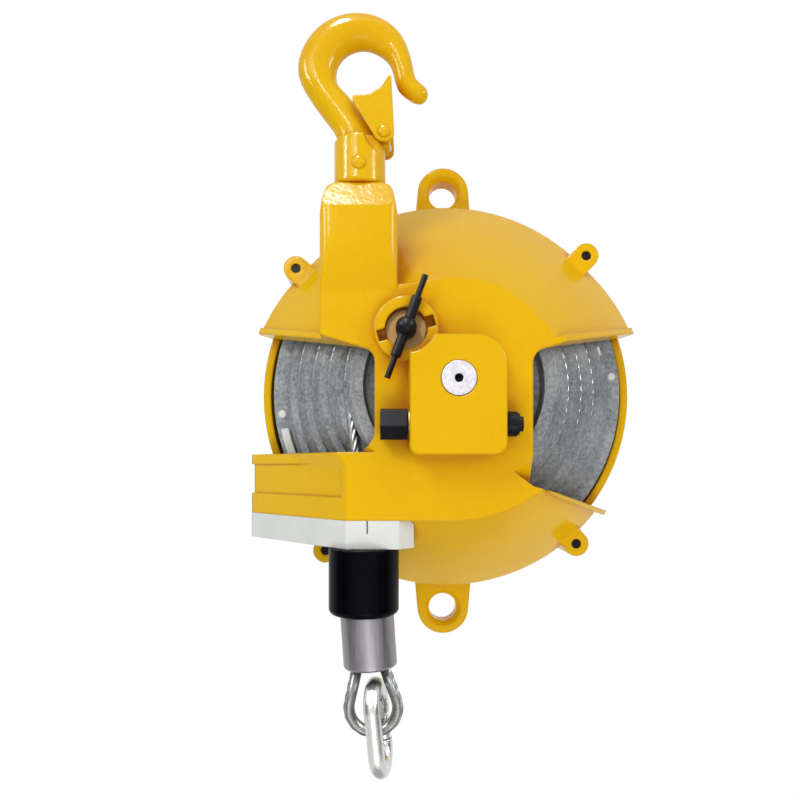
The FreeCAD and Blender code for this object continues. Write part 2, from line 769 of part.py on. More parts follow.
def worm_wheel():
    """A bronze wheel with involute teeth set over by the worm's lead angle."""
    y0, y1 = gear_y - wheel_width / 2, gear_y + wheel_width / 2
    lead = gear_module / (2 * worm_pitch_radius)
    base = wheel_pitch_radius * cos(radians(20))
    pitch_angle = involute_point(base, wheel_pitch_radius)
    half_space = pi / 2 / wheel_teeth + backlash / wheel_pitch_radius
    outer = wheel_tip_radius + 0.6
    radii = [wheel_root_radius, base, (base + outer) / 2, outer]
    flank = []
    for radius in radii:
        angle = half_space + involute_point(base, max(radius, base)) - pitch_angle
        flank.append((radius, angle))
    points = [(r * sin(a), -r * cos(a)) for r, a in flank]
    outline = points + [(-x, z) for x, z in reversed(points)]
    length = wheel_width + 6
    blank = along_y(wheel_tip_radius, y0, y1)
    blank = blank.cut(along_y(shaft_end_radius + seat_play, y0 - 1, y1 + 1))
    teeth = []
    for i in range(wheel_teeth):
        start = Vector(-lead * length / 2, gear_y - length / 2, 0)
        corners = [start + Vector(x, 0, z) for x, z in outline]
        tool = Part.Face(closed_wire(corners)).extrude(Vector(lead * length, length, 0))
        teeth.append(turn_y(tool, 360.0 * i / wheel_teeth))
    wheel = less(blank, teeth)
    return single(wheel.cut(key_slot(y0 - 1, y1 + 1)))


key_width = 4.0
key_height = 4.0


def key_slot(y0, y1, play=seat_play):
    half = key_width / 2 + play
    return box(-half, half, y0, y1, shaft_end_radius - key_height / 2 - play,
               shaft_end_radius + key_height / 2 + play)


def gear_key():
    half = wheel_width / 2
    return box(-key_width / 2, key_width / 2, gear_y - half + 0.5, gear_y + half - 0.5,
               shaft_end_radius - key_height / 2, shaft_end_radius + key_height / 2)


def cover_screw_places():
    return [(side * (cover_half_x - 2.4), z) for side in (-1, 1)
            for z in (cover_bottom + 2.9, wheel_tip_radius / 2)]


def cover_outline(play, y0, y1):
    """The cover's outline, with one corner cut back round the drum lock."""
    half = cover_half_x + play
    low, high = cover_bottom - play, cover_top + play
    plate = prism_y([(-half, low), (half, low), (half, high), (-half, high)], y0, y1,
                    [2.0, 2.0, 12.0, 2.0])
    return plate.cut(along_y(lock_boss_radius + gap - play, y0 - 1, y1 + 1, lock_x, lock_z))


def gear_cover():
    """The plate that shuts the gearbox towards the drum and carries the shaft's bush."""
    plate = cover_outline(0, cover_front_y, cover_back_y)
    holes = [along_y(bearing_bore / 2 + 2.0 + seat_play, -80, -40)]
    holes += [along_y(1.6, -80, -40, x, z) for x, z in cover_screw_places()]
    return single(less(plate, holes))


def cover_screws():
    screws = []
    for x, z in cover_screw_places():
        head = along_y(2.3, cover_back_y, cover_back_y + 1.4, x, z)
        shank = along_y(1.25, cover_front_y - 5, cover_back_y, x, z)
        screws.append(single(head.fuse(shank).removeSplitter()))
    return Part.makeCompound(screws)


def shaft_bush():
    return ring_y(bearing_bore / 2 + shaft_play, bearing_bore / 2 + 2.0, cover_front_y,
                  cover_back_y + 1.5)


# ---------------------------------------------------------------- shaft
shaft_big = bearing_bore / 2
arbor_front_y = 2.0
arbor_back_y = arbor_front_y + spring_width + 1.0
shaft_shoulder_y = cover_front_y + 0.2
rear_shoulder_y = rear_bearing_y + bearing_width + 1.5


def main_shaft():
    """The fixed shaft that the worm wheel turns when the pull is adjusted."""
    front = along_y(shaft_end_radius, -box_depth - 0.2, shaft_shoulder_y)
    middle = along_y(shaft_big - shaft_play, shaft_shoulder_y, rear_shoulder_y)
    rear = along_y(rear_journal_radius, rear_shoulder_y, rear_depth + 10)
    centre = Part.makeCone(2.0, 0.5, 3.0, Vector(0, -box_depth - 0.2, 0), axis_y)
    groove = ring_y(rear_journal_radius - 0.8, rear_journal_radius + 1, rear_depth + 7.9,
                    rear_depth + 9.1)
    shaft = union([front, middle, rear])
    slots = [key_slot(gear_y - wheel_width / 2 + 0.5 - seat_play,
                      gear_y + wheel_width / 2 - 0.5 + seat_play)]
    return single(less(shaft, [centre, groove] + slots))


def shaft_washer():
    return ring_y(rear_journal_radius + seat_play, 13.0, rear_depth + 6 + gap, rear_depth + 7.8)


def circlip(radius, y0, y1, height):
    clip = ring_y(radius - 0.78, radius + height, y0, y1)
    return clip.cut(box(-1.6, 1.6, y0 - 1, y1 + 1, 0, 40))


def shaft_circlip():
    return circlip(rear_journal_radius, rear_depth + 7.95, rear_depth + 9.05, 2.2)


def worm_circlip():
    clip = along_x(stub_radius + 1.5, box_right + 5.6, box_right + 6.6, gear_y, worm_z)
    clip = clip.cut(along_x(stub_radius + seat_play, 0, far, gear_y, worm_z))
    return clip.cut(box(0, far, gear_y - 1, gear_y + 1, worm_z, worm_z + 20))


def worm_washer():
    return along_x(stub_radius + 2.2, box_right + 0.9, box_right + 5.6, gear_y, worm_z).cut(
        along_x(stub_radius + seat_play, 0, far, gear_y, worm_z))


def spring_arbor():
    """The sleeve keyed to the shaft that the mainspring's inner end hooks on."""
    sleeve = ring_y(shaft_big + seat_play, arbor_radius, arbor_front_y, arbor_back_y)
    hook = box(arbor_radius - 2.6, arbor_radius + 1, arbor_front_y - 1, arbor_back_y + 1,
               -spring_strip / 2 - gap, spring_strip / 2 + gap)
    return single(sleeve.cut(hook))


# ---------------------------------------------------------------- drum
def crest_radius(y):
    """Radius of the drum's land at y: just above the next rope's middle."""
    edge = rope_start_y - rope_radius - groove_play
    return rope_start_radius + crest_height + (y - edge) * rope_slope


def floor_radius(y):
    return rope_start_radius - rope_radius - groove_play + (y - rope_start_y) * rope_slope


def drum_helix(first_turn, last_turn):
    """The rope's conical helix, by turns from where it leaves the drum on the left."""
    slant_pitch = hypot(rope_axial_pitch, rope_radial_pitch)   # a cone's helix goes by its slant
    radius = rope_start_radius + first_turn * rope_radial_pitch
    angle = degrees(atan2(rope_radial_pitch, rope_axial_pitch))
    helix = Part.makeHelix(slant_pitch, (last_turn - first_turn) * slant_pitch, radius, angle)
    start = Vector(*polar_vector(180.0 - first_turn * 360.0))
    frame = helix_frame(axis_y, start, Vector(0, rope_start_y + first_turn * rope_axial_pitch, 0))
    return helix, frame, radius


def polar_vector(angle_deg):
    x, z = polar(1.0, angle_deg)
    return x, 0, z


def drum_groove():
    half = rope_radius + groove_play
    helix, frame, radius = drum_helix(-0.12, wound_turns + 0.02)
    section = closed_wire([Vector(radius - half, 0, -half), Vector(radius - half, 0, half),
                           Vector(radius + 14, 0, half), Vector(radius + 14, 0, -half)])
    groove = Part.Wire(helix).makePipeShell([section], True, True)
    groove.Placement = frame
    return groove


shoulder_y = rope_start_y + (shoulder_radius - rope_start_radius - crest_height) / rope_slope \
    - rope_radius - groove_play


def drum():
    """The cast cone, with the rope's spiral groove, a web with lock holes and a bearing hub."""
    front, flange_back = drum_front_y, flange_front_y + flange_thickness
    outer = turned([(0, front), (crest_radius(front), front), (shoulder_radius, shoulder_y),
                    (shoulder_radius, flange_front_y), (flange_radius, flange_front_y),
                    (flange_radius, flange_back), (0, flange_back)])
    lip = rope_radius + groove_play + drum_wall
    back_in = floor_radius(flange_back) - drum_wall - 4
    web_back = drum_web_y + drum_web_thickness
    inner = turned([(0, web_back), (floor_radius(web_back) - drum_wall, web_back),
                    (back_in, flange_back - 1), (back_in, flange_back + 1), (0, flange_back + 1)])
    recess = turned([(drum_hub_radius, front - 1), (rim_band_radius, front - 1),
                     (rim_band_radius - 1.0, drum_web_y), (drum_hub_radius, drum_web_y)])
    hub = along_y(drum_hub_radius, front_bearing_y - 1.5, front_bearing_y + bearing_width + 4)
    nose = along_y(drum_hub_radius + 1, front - 1, front_bearing_y - 1.5)
    solid = outer.cut(inner).cut(recess).cut(nose)
    solid = solid.fuse(hub)
    lock_radius = hypot(lock_x, lock_z)
    lock_angle = degrees(atan2(lock_z, lock_x))
    cutters = [along_y(bearing_outer / 2 + seat_play, front_bearing_y - 3,
                       front_bearing_y + bearing_width),
               along_y(bearing_outer / 2 - 4, front_bearing_y, 0), drum_groove(),
               rope_anchor(seat_play, 14.0)]
    for i in range(lock_holes):
        x, z = polar(lock_radius, lock_angle + 360.0 * i / lock_holes)
        cutters.append(along_y(pin_radius + 0.75, drum_web_y - 1, web_back + 1, x, z))
    for i in range(rivet_count):
        x, z = polar(rivet_ring_radius, rivet_angle(i))
        cutters.append(along_y(rivet_radius * 0.6 + seat_play, flange_front_y - 1,
                               flange_back + 1, x, z))
    return single(less(solid, cutters))


def rivet_angle(i):
    return 6.5 + 360.0 * i / rivet_count


def drum_rivets():
    """Round-headed rivets that hold the spring case to the drum's flange."""
    back = flange_front_y + flange_thickness + case_wall
    rivets = []
    for i in range(rivet_count):
        x, z = polar(rivet_ring_radius, rivet_angle(i))
        shank = along_y(rivet_radius * 0.6, flange_front_y, back, x, z)
        head = Part.makeCone(rivet_radius * 0.75, rivet_radius, 1.2,
                             Vector(x, flange_front_y - 1.2, z), axis_y)
        tail = Part.makeCone(rivet_radius, rivet_radius * 0.75, 1.2, Vector(x, back, z), axis_y)
        rivets.append(single(union([shank, head, tail])))
    return Part.makeCompound(rivets)


def spring_case():
    """The steel cup behind the drum that holds the mainspring, with the rear bearing's hub."""
    front = flange_front_y + flange_thickness
    back = case_back_y + case_back_thickness
    hub_back = rear_bearing_y + bearing_width
    outline = [(case_radius - case_wall, front), (flange_radius, front),
               (flange_radius, front + case_wall), (case_radius, front + case_wall),
               (case_radius, back), (drum_hub_radius, back), (drum_hub_radius, hub_back),
               (bearing_outer / 2 + seat_play, hub_back),
               (bearing_outer / 2 + seat_play, rear_bearing_y),
               (bearing_outer / 2 - 4, rear_bearing_y), (bearing_outer / 2 - 4, case_back_y),
               (case_radius - case_wall, case_back_y)]
    solid = turned(outline)
    holes = []
    for i in range(rivet_count):
        x, z = polar(rivet_ring_radius, rivet_angle(i))
        holes.append(along_y(rivet_radius * 0.6 + seat_play, front - 1, front + case_wall + 1, x, z))
    return single(less(solid, holes))


def spring_cover():
    """The disc between the drum and the spring, which keeps the strip in its case."""
    front = flange_front_y + flange_thickness
    return ring_y(arbor_radius + 3.0, case_radius - case_wall - seat_play, front, front + 1.5)


def mainspring():
    """A flat strip wound in half circles, hooked to the arbor and to the case."""
    y0 = flange_front_y + flange_thickness + 1.5 + 0.5
    y0 = max(y0, arbor_front_y - spring_strip)
    y1 = y0 + spring_width
    inner = arbor_radius + gap
    outer = case_radius - case_wall - gap - spring_strip
    step = (outer - inner) / spring_turns
    radius = inner
    centre = 0.0
    side = 1
    inner_edges, outer_edges = [], []
    for i in range(2 * spring_turns):
        start = centre + side * radius
        middle_z = radius * side
        end = centre - side * radius
        inner_edges.append(Part.Arc(Vector(start, y0, 0), Vector(centre, y0, middle_z),
                                    Vector(end, y0, 0)).toShape())
        wide = radius + spring_strip
        outer_edges.append(Part.Arc(Vector(centre + side * wide, y0, 0),
                                    Vector(centre, y0, wide * side),
                                    Vector(centre - side * wide, y0, 0)).toShape())
        radius += step / 2
        centre = end + side * radius
        side = -side
    first_in = inner_edges[0].Vertexes[0].Point
    first_out = outer_edges[0].Vertexes[0].Point
    last_in = inner_edges[-1].Vertexes[1].Point
    last_out = outer_edges[-1].Vertexes[1].Point
    edges = inner_edges + [Part.LineSegment(last_in, last_out).toShape()]
    edges += list(reversed(outer_edges)) + [Part.LineSegment(first_out, first_in).toShape()]
    wire = Part.Wire(Part.__sortEdges__(edges))
    strip = Part.Face(wire).extrude(Vector(0, y1 - y0, 0))
    return strip


def bearing(y0):
    """A deep-groove ball bearing, as rings and balls."""
    inner, outer = bearing_bore / 2, bearing_outer / 2
    middle = (inner + outer) / 2
    y1 = y0 + bearing_width
    race = Part.makeTorus(middle, ball_radius + 0.02, Vector(0, y0 + bearing_width / 2, 0), axis_y)
    inner_ring = ring_y(inner, middle - 2.0, y0, y1).cut(race)
    outer_ring = ring_y(middle + 2.0, outer, y0, y1).cut(race)
    balls = []
    for i in range(ball_count):
        x, z = polar(middle, 360.0 * i / ball_count)
        balls.append(Part.makeSphere(ball_radius, Vector(x, y0 + bearing_width / 2, z)))
    return single(inner_ring), single(outer_ring), balls


def many_sided(distance, radius, sides):
    """A round wire's section as a polygon of the same area, at a distance from the axis."""
    reach = radius * sqrt(2 * pi / sides / sin(2 * pi / sides))
    return closed_wire([Vector(distance + reach * cos(2 * pi * (i + 0.5) / sides), 0,
                               reach * sin(2 * pi * (i + 0.5) / sides)) for i in range(sides)])


def rope_wound():
    helix, frame, radius = drum_helix(0.0, wound_turns)
    rope = Part.Wire(helix).makePipeShell([many_sided(radius, rope_radius, 8)], True, True)
    rope.Placement = frame
    return rope


def rope_anchor(play=0.0, height=0.0):
    """The clamp block in the drum's shoulder that holds the rope's inner end."""
    y = rope_start_y + wound_turns * rope_axial_pitch
    radius = rope_start_radius + wound_turns * rope_radial_pitch
    half = rope_radius + play
    block = box(radius - half, radius + half + height, y - half, y + half, -5.5 - play, -1.0)
    return turn_y(block, 180.0 - wound_turns * 360.0)


# ---------------------------------------------------------------- rope fall and load end
def tube(points, radius, bend):
    """A round bar along straight runs joined by tangent arcs."""
    edges = []
    start = points[0]
    for before, corner, after in zip(points, points[1:], points[2:]):
        back = (before - corner).normalize()
        ahead = (after - corner).normalize()
        half = back.getAngle(ahead) / 2
        reach = bend / tan(half)
        middle = corner + (back + ahead).normalize() * (bend / sin(half) - bend)
        edges.append(Part.LineSegment(start, corner + back * reach).toShape())
        edges.append(Part.Arc(corner + back * reach, middle, corner + ahead * reach).toShape())
        start = corner + ahead * reach
    edges.append(Part.LineSegment(start, points[-1]).toShape())
    path = Part.Wire(edges)
    direction = (points[1] - points[0]).normalize()
    circle = Part.Wire(Part.Circle(points[0], direction, radius).toShape())
    return path.makePipeShell([circle], True, True)


def leaned(shape):
    """Laid over to the side, as the free end of the rope lies."""
    copy = shape.copy()
    copy.rotate(Vector(load_x, load_y, ferrule_top_z), axis_y, -lean_angle)
    copy.translate(Vector(lean_side, 0, 0))
    return copy


guide_bottom_z = band_bottom_z - guide_height
bumper_top_z = guide_bottom_z - 0.2
bumper_bottom_z = bumper_top_z - bumper_height
ferrule_top_z = bumper_bottom_z + 7.0


def rope_fall():
    top = Vector(-rope_start_radius, rope_start_y, 0)
    corner = Vector(load_x, load_y, band_bottom_z)
    top = top + (corner - top).normalize() * 0.5
    knee = Vector(load_x, load_y, ferrule_top_z + 13.0)
    end = Vector(load_x + lean_side, load_y, ferrule_top_z + 0.25)
    return tube([top, corner, knee, end], rope_radius, 60.0)


def bumper():
    """The rubber stop buffer with a rounded lower edge."""
    body = along_z(bumper_radius, bumper_bottom_z, bumper_top_z, load_x, load_y)
    lower = [edge for edge in body.Edges if abs(edge.CenterOfMass.z - bumper_bottom_z) < 1e-3]
    body = body.makeFillet(3.0, lower)
    bore = along_z(rope_radius + lean_side + gap, bumper_bottom_z - 1, bumper_top_z + 1,
                   load_x, load_y)
    recess = along_z(ferrule_radius + lean_side + 0.8, bumper_bottom_z - 1, ferrule_top_z + 1.2,
                     load_x, load_y)
    return single(less(body, [bore, recess]))


def ferrule():
    body = along_z(ferrule_radius, ferrule_end_z, ferrule_top_z, load_x, load_y)
    lower = [edge for edge in body.Edges if abs(edge.CenterOfMass.z - ferrule_end_z) < 1e-3]
    body = body.makeFillet(1.5, lower)
    half = thimble_half_width + seat_play
    fork = prism_at_load(teardrop(thimble_outer + seat_play, ferrule_end_z + 6.0), half)
    return leaned(single(body.cut(fork)))


thimble_outer = thimble_inner + thimble_sheet + rope_diameter


def teardrop(radius, top_z):
    """An eye's outline in X and Z: round below, straight sides closing upwards."""
    angle = radians(teardrop_angle)
    touch_x = radius * cos(angle)
    touch_z = eye_centre_z + radius * sin(angle)
    top_x = touch_x - (top_z - touch_z) * tan(angle)
    bottom = Vector(load_x, load_y, eye_centre_z - radius)
    left, right = Vector(load_x - touch_x, load_y, touch_z), Vector(load_x + touch_x, load_y, touch_z)
    top_left, top_right = Vector(load_x - top_x, load_y, top_z), Vector(load_x + top_x, load_y, top_z)
    return [Part.LineSegment(top_left, left).toShape(), Part.Arc(left, bottom, right).toShape(),
            Part.LineSegment(right, top_right).toShape(),
            Part.LineSegment(top_right, top_left).toShape()]


def prism_at_load(edges, half):
    face = Part.Face(Part.Wire(edges))
    face.translate(Vector(0, -half, 0))
    return face.extrude(Vector(0, 2 * half, 0))


thimble_top_z = ferrule_end_z + 3.0


def thimble():
    """A channel bent into a drop, open outwards for the rope."""
    half = thimble_half_width
    whole = prism_at_load(teardrop(thimble_outer - 0.6, thimble_top_z), half)
    hole = prism_at_load(teardrop(thimble_inner, thimble_top_z + 1), half + 1)
    groove = prism_at_load(teardrop(thimble_outer + 5, thimble_top_z + 1), half - thimble_sheet)
    floor = prism_at_load(teardrop(thimble_inner + thimble_sheet, thimble_top_z + 1), half)
    return leaned(single(whole.cut(hole).cut(groove.cut(floor))))


def rope_eye():
    """The rope's loop round the thimble, with both legs going up into the ferrule."""
    radius = thimble_inner + thimble_sheet + rope_radius + 0.02
    edges = teardrop(radius, ferrule_end_z + 4.0)[:3]
    path = Part.Wire(edges)
    start = path.Vertexes[0].Point
    direction = (path.Vertexes[1].Point - start).normalize()
    circle = Part.Wire(Part.Circle(start, direction, rope_radius - 0.05).toShape())
    return leaned(path.makePipeShell([circle], True, True))


# ---------------------------------------------------------------- guide block
def along_duct(distance, offset):
    """X and Y of a point on the rope's slot, by distance along it and offset outwards."""
    angle = radians(duct_angle)
    return (load_x - distance * sin(angle) - offset * cos(angle),
            load_y + distance * cos(angle) - offset * sin(angle))


slot_length = (rope_radial_pitch * (wound_turns - 0.2)) / sin(radians(duct_angle)) + 3.0


def guide_screw_places():
    return [(guide_right - 4.3, load_y + 4.0), along_duct(slot_length + 14.0, 2.5)]


def guide_outline(side_play, end_play):
    """The rope guide's block before it is cut, with play to its sides and below."""
    shift = guide_width / cos(radians(duct_angle))
    back_x = duct_end_x + shift + side_play
    right = guide_right + side_play
    outline = [(duct_front_x - side_play, -casing_depth - side_play),
               (guide_right - 7.0, -casing_depth - side_play), (right, -casing_depth + 7.0),
               (right, -38.0), (back_x, -0.5 + side_play * 4), (duct_end_x, -0.5 + side_play * 4)]
    return prism_z(outline, guide_bottom_z - end_play, band_bottom_z)


def guide_tongue():
    """A curved strip up from the guide's block that keeps a slack rope off the drum's flange."""
    outer, inner = shoulder_radius + 5.2, shoulder_radius + 1.2
    strip = ring_y(inner, outer, flange_front_y - 6.0, flange_front_y - 1.6)
    reach = 2 * far
    first, last = polar(reach, 192.0), polar(reach, 227.0)
    sector = prism_y([(0, 0), first, polar(reach, 209.0), last], flange_front_y - 10, 0)
    above = box(-far, far, -far, 0, band_bottom_z - 0.5, far)
    return strip.common(sector).common(above)


def guide_block():
    """The nylon block under the duct; the rope runs along its slanted slot as it pays out."""
    body = guide_outline(0, 0).cut(drum_room()).fuse(guide_tongue()).removeSplitter()
    ends = [along_duct(0, 0), along_duct(slot_length, 0)]
    half = guide_slot / 2
    angle = radians(duct_angle)
    side = (half * cos(angle), half * sin(angle))
    slot = [(ends[0][0] + side[0], ends[0][1] + side[1]), (ends[0][0] - side[0], ends[0][1] - side[1]),
            (ends[1][0] - side[0], ends[1][1] - side[1]), (ends[1][0] + side[0], ends[1][1] + side[1])]
    cutters = [prism_z(slot, guide_bottom_z - 1, band_bottom_z + 1)]
    cutters += [along_z(half, guide_bottom_z - 1, band_bottom_z + 1, x, y) for x, y in ends]
    cutters.append(box(load_x + 1.8, load_x + 2.3, -casing_depth - 1, load_y - 2,
                       band_bottom_z - guide_height * 0.45, band_bottom_z + 1))
    for x, y in guide_screw_places():
        cutters.append(along_z(2.25, guide_bottom_z - 1, band_bottom_z + 1, x, y))
        cutters.append(along_z(4.0, guide_bottom_z - 1, guide_bottom_z + 4.2, x, y))
    return single(less(body, cutters))


def guide_screws():
    screws = []
    for x, y in guide_screw_places():
        head = along_z(3.5, guide_bottom_z + 0.2, guide_bottom_z + 4.2, x, y)
        shank = along_z(1.98, guide_bottom_z + 4.2, band_bottom_z + 7.5, x, y)
        screws.append(single(head.fuse(shank).removeSplitter()))
    return Part.makeCompound(screws)


# ---------------------------------------------------------------- drum lock
def lock_bush():
    flange = ring_y(pin_radius + shaft_play, pocket_radius - 0.4, pocket_floor_y - 2.0,
                    pocket_floor_y, lock_x, lock_z)
    sleeve = ring_y(pin_radius + shaft_play, 6.0 - seat_play, pocket_floor_y,
                    -casing_depth + wall - 0.5, lock_x, lock_z)
    return single(flange.fuse(sleeve).removeSplitter())


collar_y = -casing_depth + wall + 4.0
head_back_y = pocket_floor_y - 2.0 - 0.2


def lock_pin():
    """The pin that the handle's cam drives into one of the drum's holes."""
    pin = along_y(pin_radius, pocket_floor_y - 5.0, pin_tip_y, lock_x, lock_z)
    collar = along_y(5.0, collar_y - 1.5, collar_y, lock_x, lock_z)
    return single(pin.fuse(collar).removeSplitter())


def lock_handle():
    """A round head on a short stem, with the cross bar and its sleeve through it."""
    bar_y = lock_face_y - handle_sleeve_radius - gap
    stem = along_y(handle_head_radius + 0.4, bar_y, head_back_y, lock_x, lock_z)
    ball = Part.makeSphere(handle_head_radius, Vector(lock_x, bar_y - 1.2, lock_z))
    reach = Vector(*polar_vector(handle_angle))
    middle = Vector(lock_x, bar_y, lock_z)
    bar = Part.makeCylinder(handle_rod_radius, 2 * handle_half, middle - reach * handle_half, reach)
    sleeve = Part.makeCylinder(handle_sleeve_radius, 2 * handle_sleeve_half,
                               middle - reach * handle_sleeve_half, reach)
    body = union([stem, ball, bar, sleeve])
    return single(body.cut(along_y(pin_radius + shaft_play, pocket_floor_y - 5.4, -40,
                                   lock_x, lock_z)))


def coil(radius, wire, height, turns, centre, axial, start):
    """A helical wire spring."""
    helix = Part.makeHelix(height / turns, height, radius)
    spring = Part.Wire(helix).makePipeShell([many_sided(radius, wire, 6)], True, True)
    spring.Placement = helix_frame(axial, start, centre)
    return spring


def lock_spring():
    wire = 0.3
    start = -casing_depth + wall - 0.5 + wire + 0.1
    end = collar_y - 1.5 - wire - 0.1
    return coil(4.4, wire, end - start, 1.5, Vector(lock_x, start, lock_z), axis_y, Vector(1, 0, 0))


# ---------------------------------------------------------------- hook
barrel_bottom = hanger_top_z + gap
barrel_top = barrel_bottom + barrel_height
outer_circle_x = load_x - 3.5
outer_circle_z = bowl_z + 1.9
outer_circle_radius = 27.25


def hook_section(centre, direction_deg, width, depth):
    """An oval across the hook's bar at one place."""
    normal = Vector(*polar_vector(direction_deg))
    across = Vector(*polar_vector(direction_deg - 90))
    big = Vector(0, 1, 0)
    if width >= depth:
        ellipse = Part.Ellipse(centre + across * (width / 2), centre + big * (depth / 2), centre)
    else:
        ellipse = Part.Ellipse(centre + big * (depth / 2), centre + across * (width / 2), centre)
    return Part.Wire(ellipse.toShape())


def hook_stations():
    """Centre, direction, width and depth of the hook's bar from the neck round to the tip."""
    stations = [(-1.9, -34.0, 90, 20.0, 15.0), (-3.5, -28.5, 100, 18.2, 14.8),
                (-7.5, -21.9, 119, 15.6, 14.2), (-13.1, -14.5, 127, 15.4, 14.2),
                (-19.3, -6.3, 105, 15.4, 14.6)]
    offset_x, offset_z = outer_circle_x - load_x, outer_circle_z - bowl_z
    for angle in (178, 135, 90, 45):
        ux, uz = polar(1.0, angle)
        dot = ux * offset_x + uz * offset_z
        reach = dot + sqrt(dot ** 2 - offset_x ** 2 - offset_z ** 2 + outer_circle_radius ** 2)
        width = reach - bowl_radius
        middle = (reach + bowl_radius) / 2
        stations.append((ux * middle, uz * middle, angle - 90, width, min(width * 0.86, 14.8)))
    stations += [(18.9, 1.0, -88, 9.8, 11.0), (20.4, -3.5, -61, 9.6, 10.0),
                 (23.3, -6.5, -38, 9.0, 9.2), (26.0, -8.3, -30, 8.4, 8.6),
                 (27.9, -9.4, -30, 7.0, 7.2), (29.0, -10.05, -30, 4.6, 4.8),
                 (29.55, -10.4, -30, 2.2, 2.4)]
    return stations


def hook():
    """A forged swivel hook: barrel, thick bowl, a lug for the latch and an upturned tip."""
    stations = hook_stations()
    sections = [hook_section(Vector(load_x + x, load_y, bowl_z + z), direction, width, depth)
                for x, z, direction, width, depth in stations]
    bar = Part.makeLoft(sections, True, False)
    barrel = along_z(barrel_radius, barrel_bottom, barrel_top, swivel_x, load_y)
    rims = [edge for edge in barrel.Edges if edge.Curve.TypeId == "Part::GeomCircle"]
    barrel = barrel.makeFillet(1.5, rims)
    lug = prism_y([(swivel_x, latch_pivot_z - 7), (latch_pivot_x + 2.2, latch_pivot_z - 4.4),
                   (latch_pivot_x + 3.0, latch_pivot_z + 1), (latch_pivot_x + 1.4, latch_pivot_z + 4),
                   (swivel_x, latch_pivot_z + 8)], load_y - 5.5, load_y + 5.5)
    solid = union([barrel, bar, lug])
    cutters = [along_z(stud_radius + seat_play, barrel_bottom - 1, barrel_bottom + 17,
                       swivel_x, load_y),
               along_y(rivet_bore, load_y - 20, load_y + 20, swivel_x, cross_pin_z),
               along_y(latch_rivet_radius + 0.1, load_y - 20, load_y + 20, latch_pivot_x,
                       latch_pivot_z)]
    for side in (-1, 1):
        # room beside the lug for the spring, and beside the barrel for the latch's cheeks
        for radius, inner in ((4.4, 5.6), (9.4, latch_inside / 2 - gap)):
            middle = load_y + side * (inner + 5)
            cutters.append(along_y(radius, middle - 5, middle + 5, latch_pivot_x, latch_pivot_z))
    return single(less(solid, cutters))


cross_pin_z = barrel_bottom + 8.0
rivet_bore = 3.0 + seat_play
latch_rivet_radius = 1.9


def hook_cross_pin():
    """Rivet that ties the barrel to the swivel stud."""
    body = along_y(3.0, load_y - barrel_radius - 0.8, load_y + barrel_radius + 0.8,
                   swivel_x, cross_pin_z)
    rims = [edge for edge in body.Edges if edge.Curve.TypeId == "Part::GeomCircle"]
    return body.makeFillet(0.7, rims)


def swivel_stud():
    """The stud on which the whole balancer turns under its hook."""
    head_bottom = stud_head_top - stud_washer - gap - stud_head_height
    head = along_z(stud_head_radius, head_bottom, head_bottom + stud_head_height,
                   swivel_x, load_y)
    shank = along_z(stud_radius, head_bottom, barrel_bottom + 16.5, swivel_x, load_y)
    hole = along_y(rivet_bore, load_y - 20, load_y + 20, swivel_x, cross_pin_z)
    return single(head.fuse(shank).removeSplitter().cut(hole))


def swivel_washer():
    top = stud_head_top - gap / 2
    return along_z(stud_head_radius, top - stud_washer, top, swivel_x, load_y).cut(
        along_z(stud_radius + seat_play, 0, 200, swivel_x, load_y))


def latch():
    """A folded sheet latch: two cheeks beside the hook and a web along its outer edge."""
    half = latch_inside / 2 + latch_sheet
    low_x, top_x, low_z = latch_pivot_x + 4.9, latch_pivot_x + 3.4, latch_pivot_z - 4.4
    outline = [(low_x, low_z), (top_x, bowl_z - 5.0), (top_x - 1.4, bowl_z - 5.0),
               (latch_pivot_x - 0.9, bowl_z - 9.8),
               (latch_pivot_x - 6.8, bowl_z - 13.6), (latch_pivot_x - 14.2, bowl_z - 13.9),
               (latch_pivot_x - 14.3, bowl_z - 16.2), (latch_pivot_x - 2.9, low_z)]
    radii = [4.0, 0.3, 0.3, 6.0, 6.0, 0.6, 0.6, 4.0]
    cheeks = prism_y(outline, load_y - half, load_y + half, radii)
    inside = prism_y([(latch_pivot_x - 40, low_z - 1), (low_x - latch_sheet, low_z - 1),
                      (top_x - latch_sheet, bowl_z - 4.9), (latch_pivot_x - 40, bowl_z - 4.9)],
                     load_y - latch_inside / 2, load_y + latch_inside / 2)
    below_web = box(latch_pivot_x - 40, latch_pivot_x + 40, load_y - latch_inside / 2,
                    load_y + latch_inside / 2, latch_pivot_z - 20, latch_pivot_z + 7.5)
    hole = along_y(latch_rivet_radius + shaft_play, load_y - 20, load_y + 20, latch_pivot_x,
                   latch_pivot_z)
    return single(less(cheeks, [inside, below_web, hole]))


def latch_rivet():
    half = latch_inside / 2 + latch_sheet + 0.15
    shank = along_y(latch_rivet_radius, load_y - half, load_y + half, latch_pivot_x,
                    latch_pivot_z)
    heads = [along_y(3.6, load_y - half - 1.5, load_y - half, latch_pivot_x, latch_pivot_z),
             along_y(3.6, load_y + half, load_y + half + 1.5, latch_pivot_x, latch_pivot_z)]
    return single(union([shank] + heads))


def latch_spring():
    wire = 0.4
    y0 = load_y + 5.5 + wire + 0.1
    y1 = load_y + latch_inside / 2 - wire - 0.1
    return coil(3.0, wire, y1 - y0, 1.5, Vector(latch_pivot_x, y0, latch_pivot_z), axis_y,
                Vector(1, 0, 0))


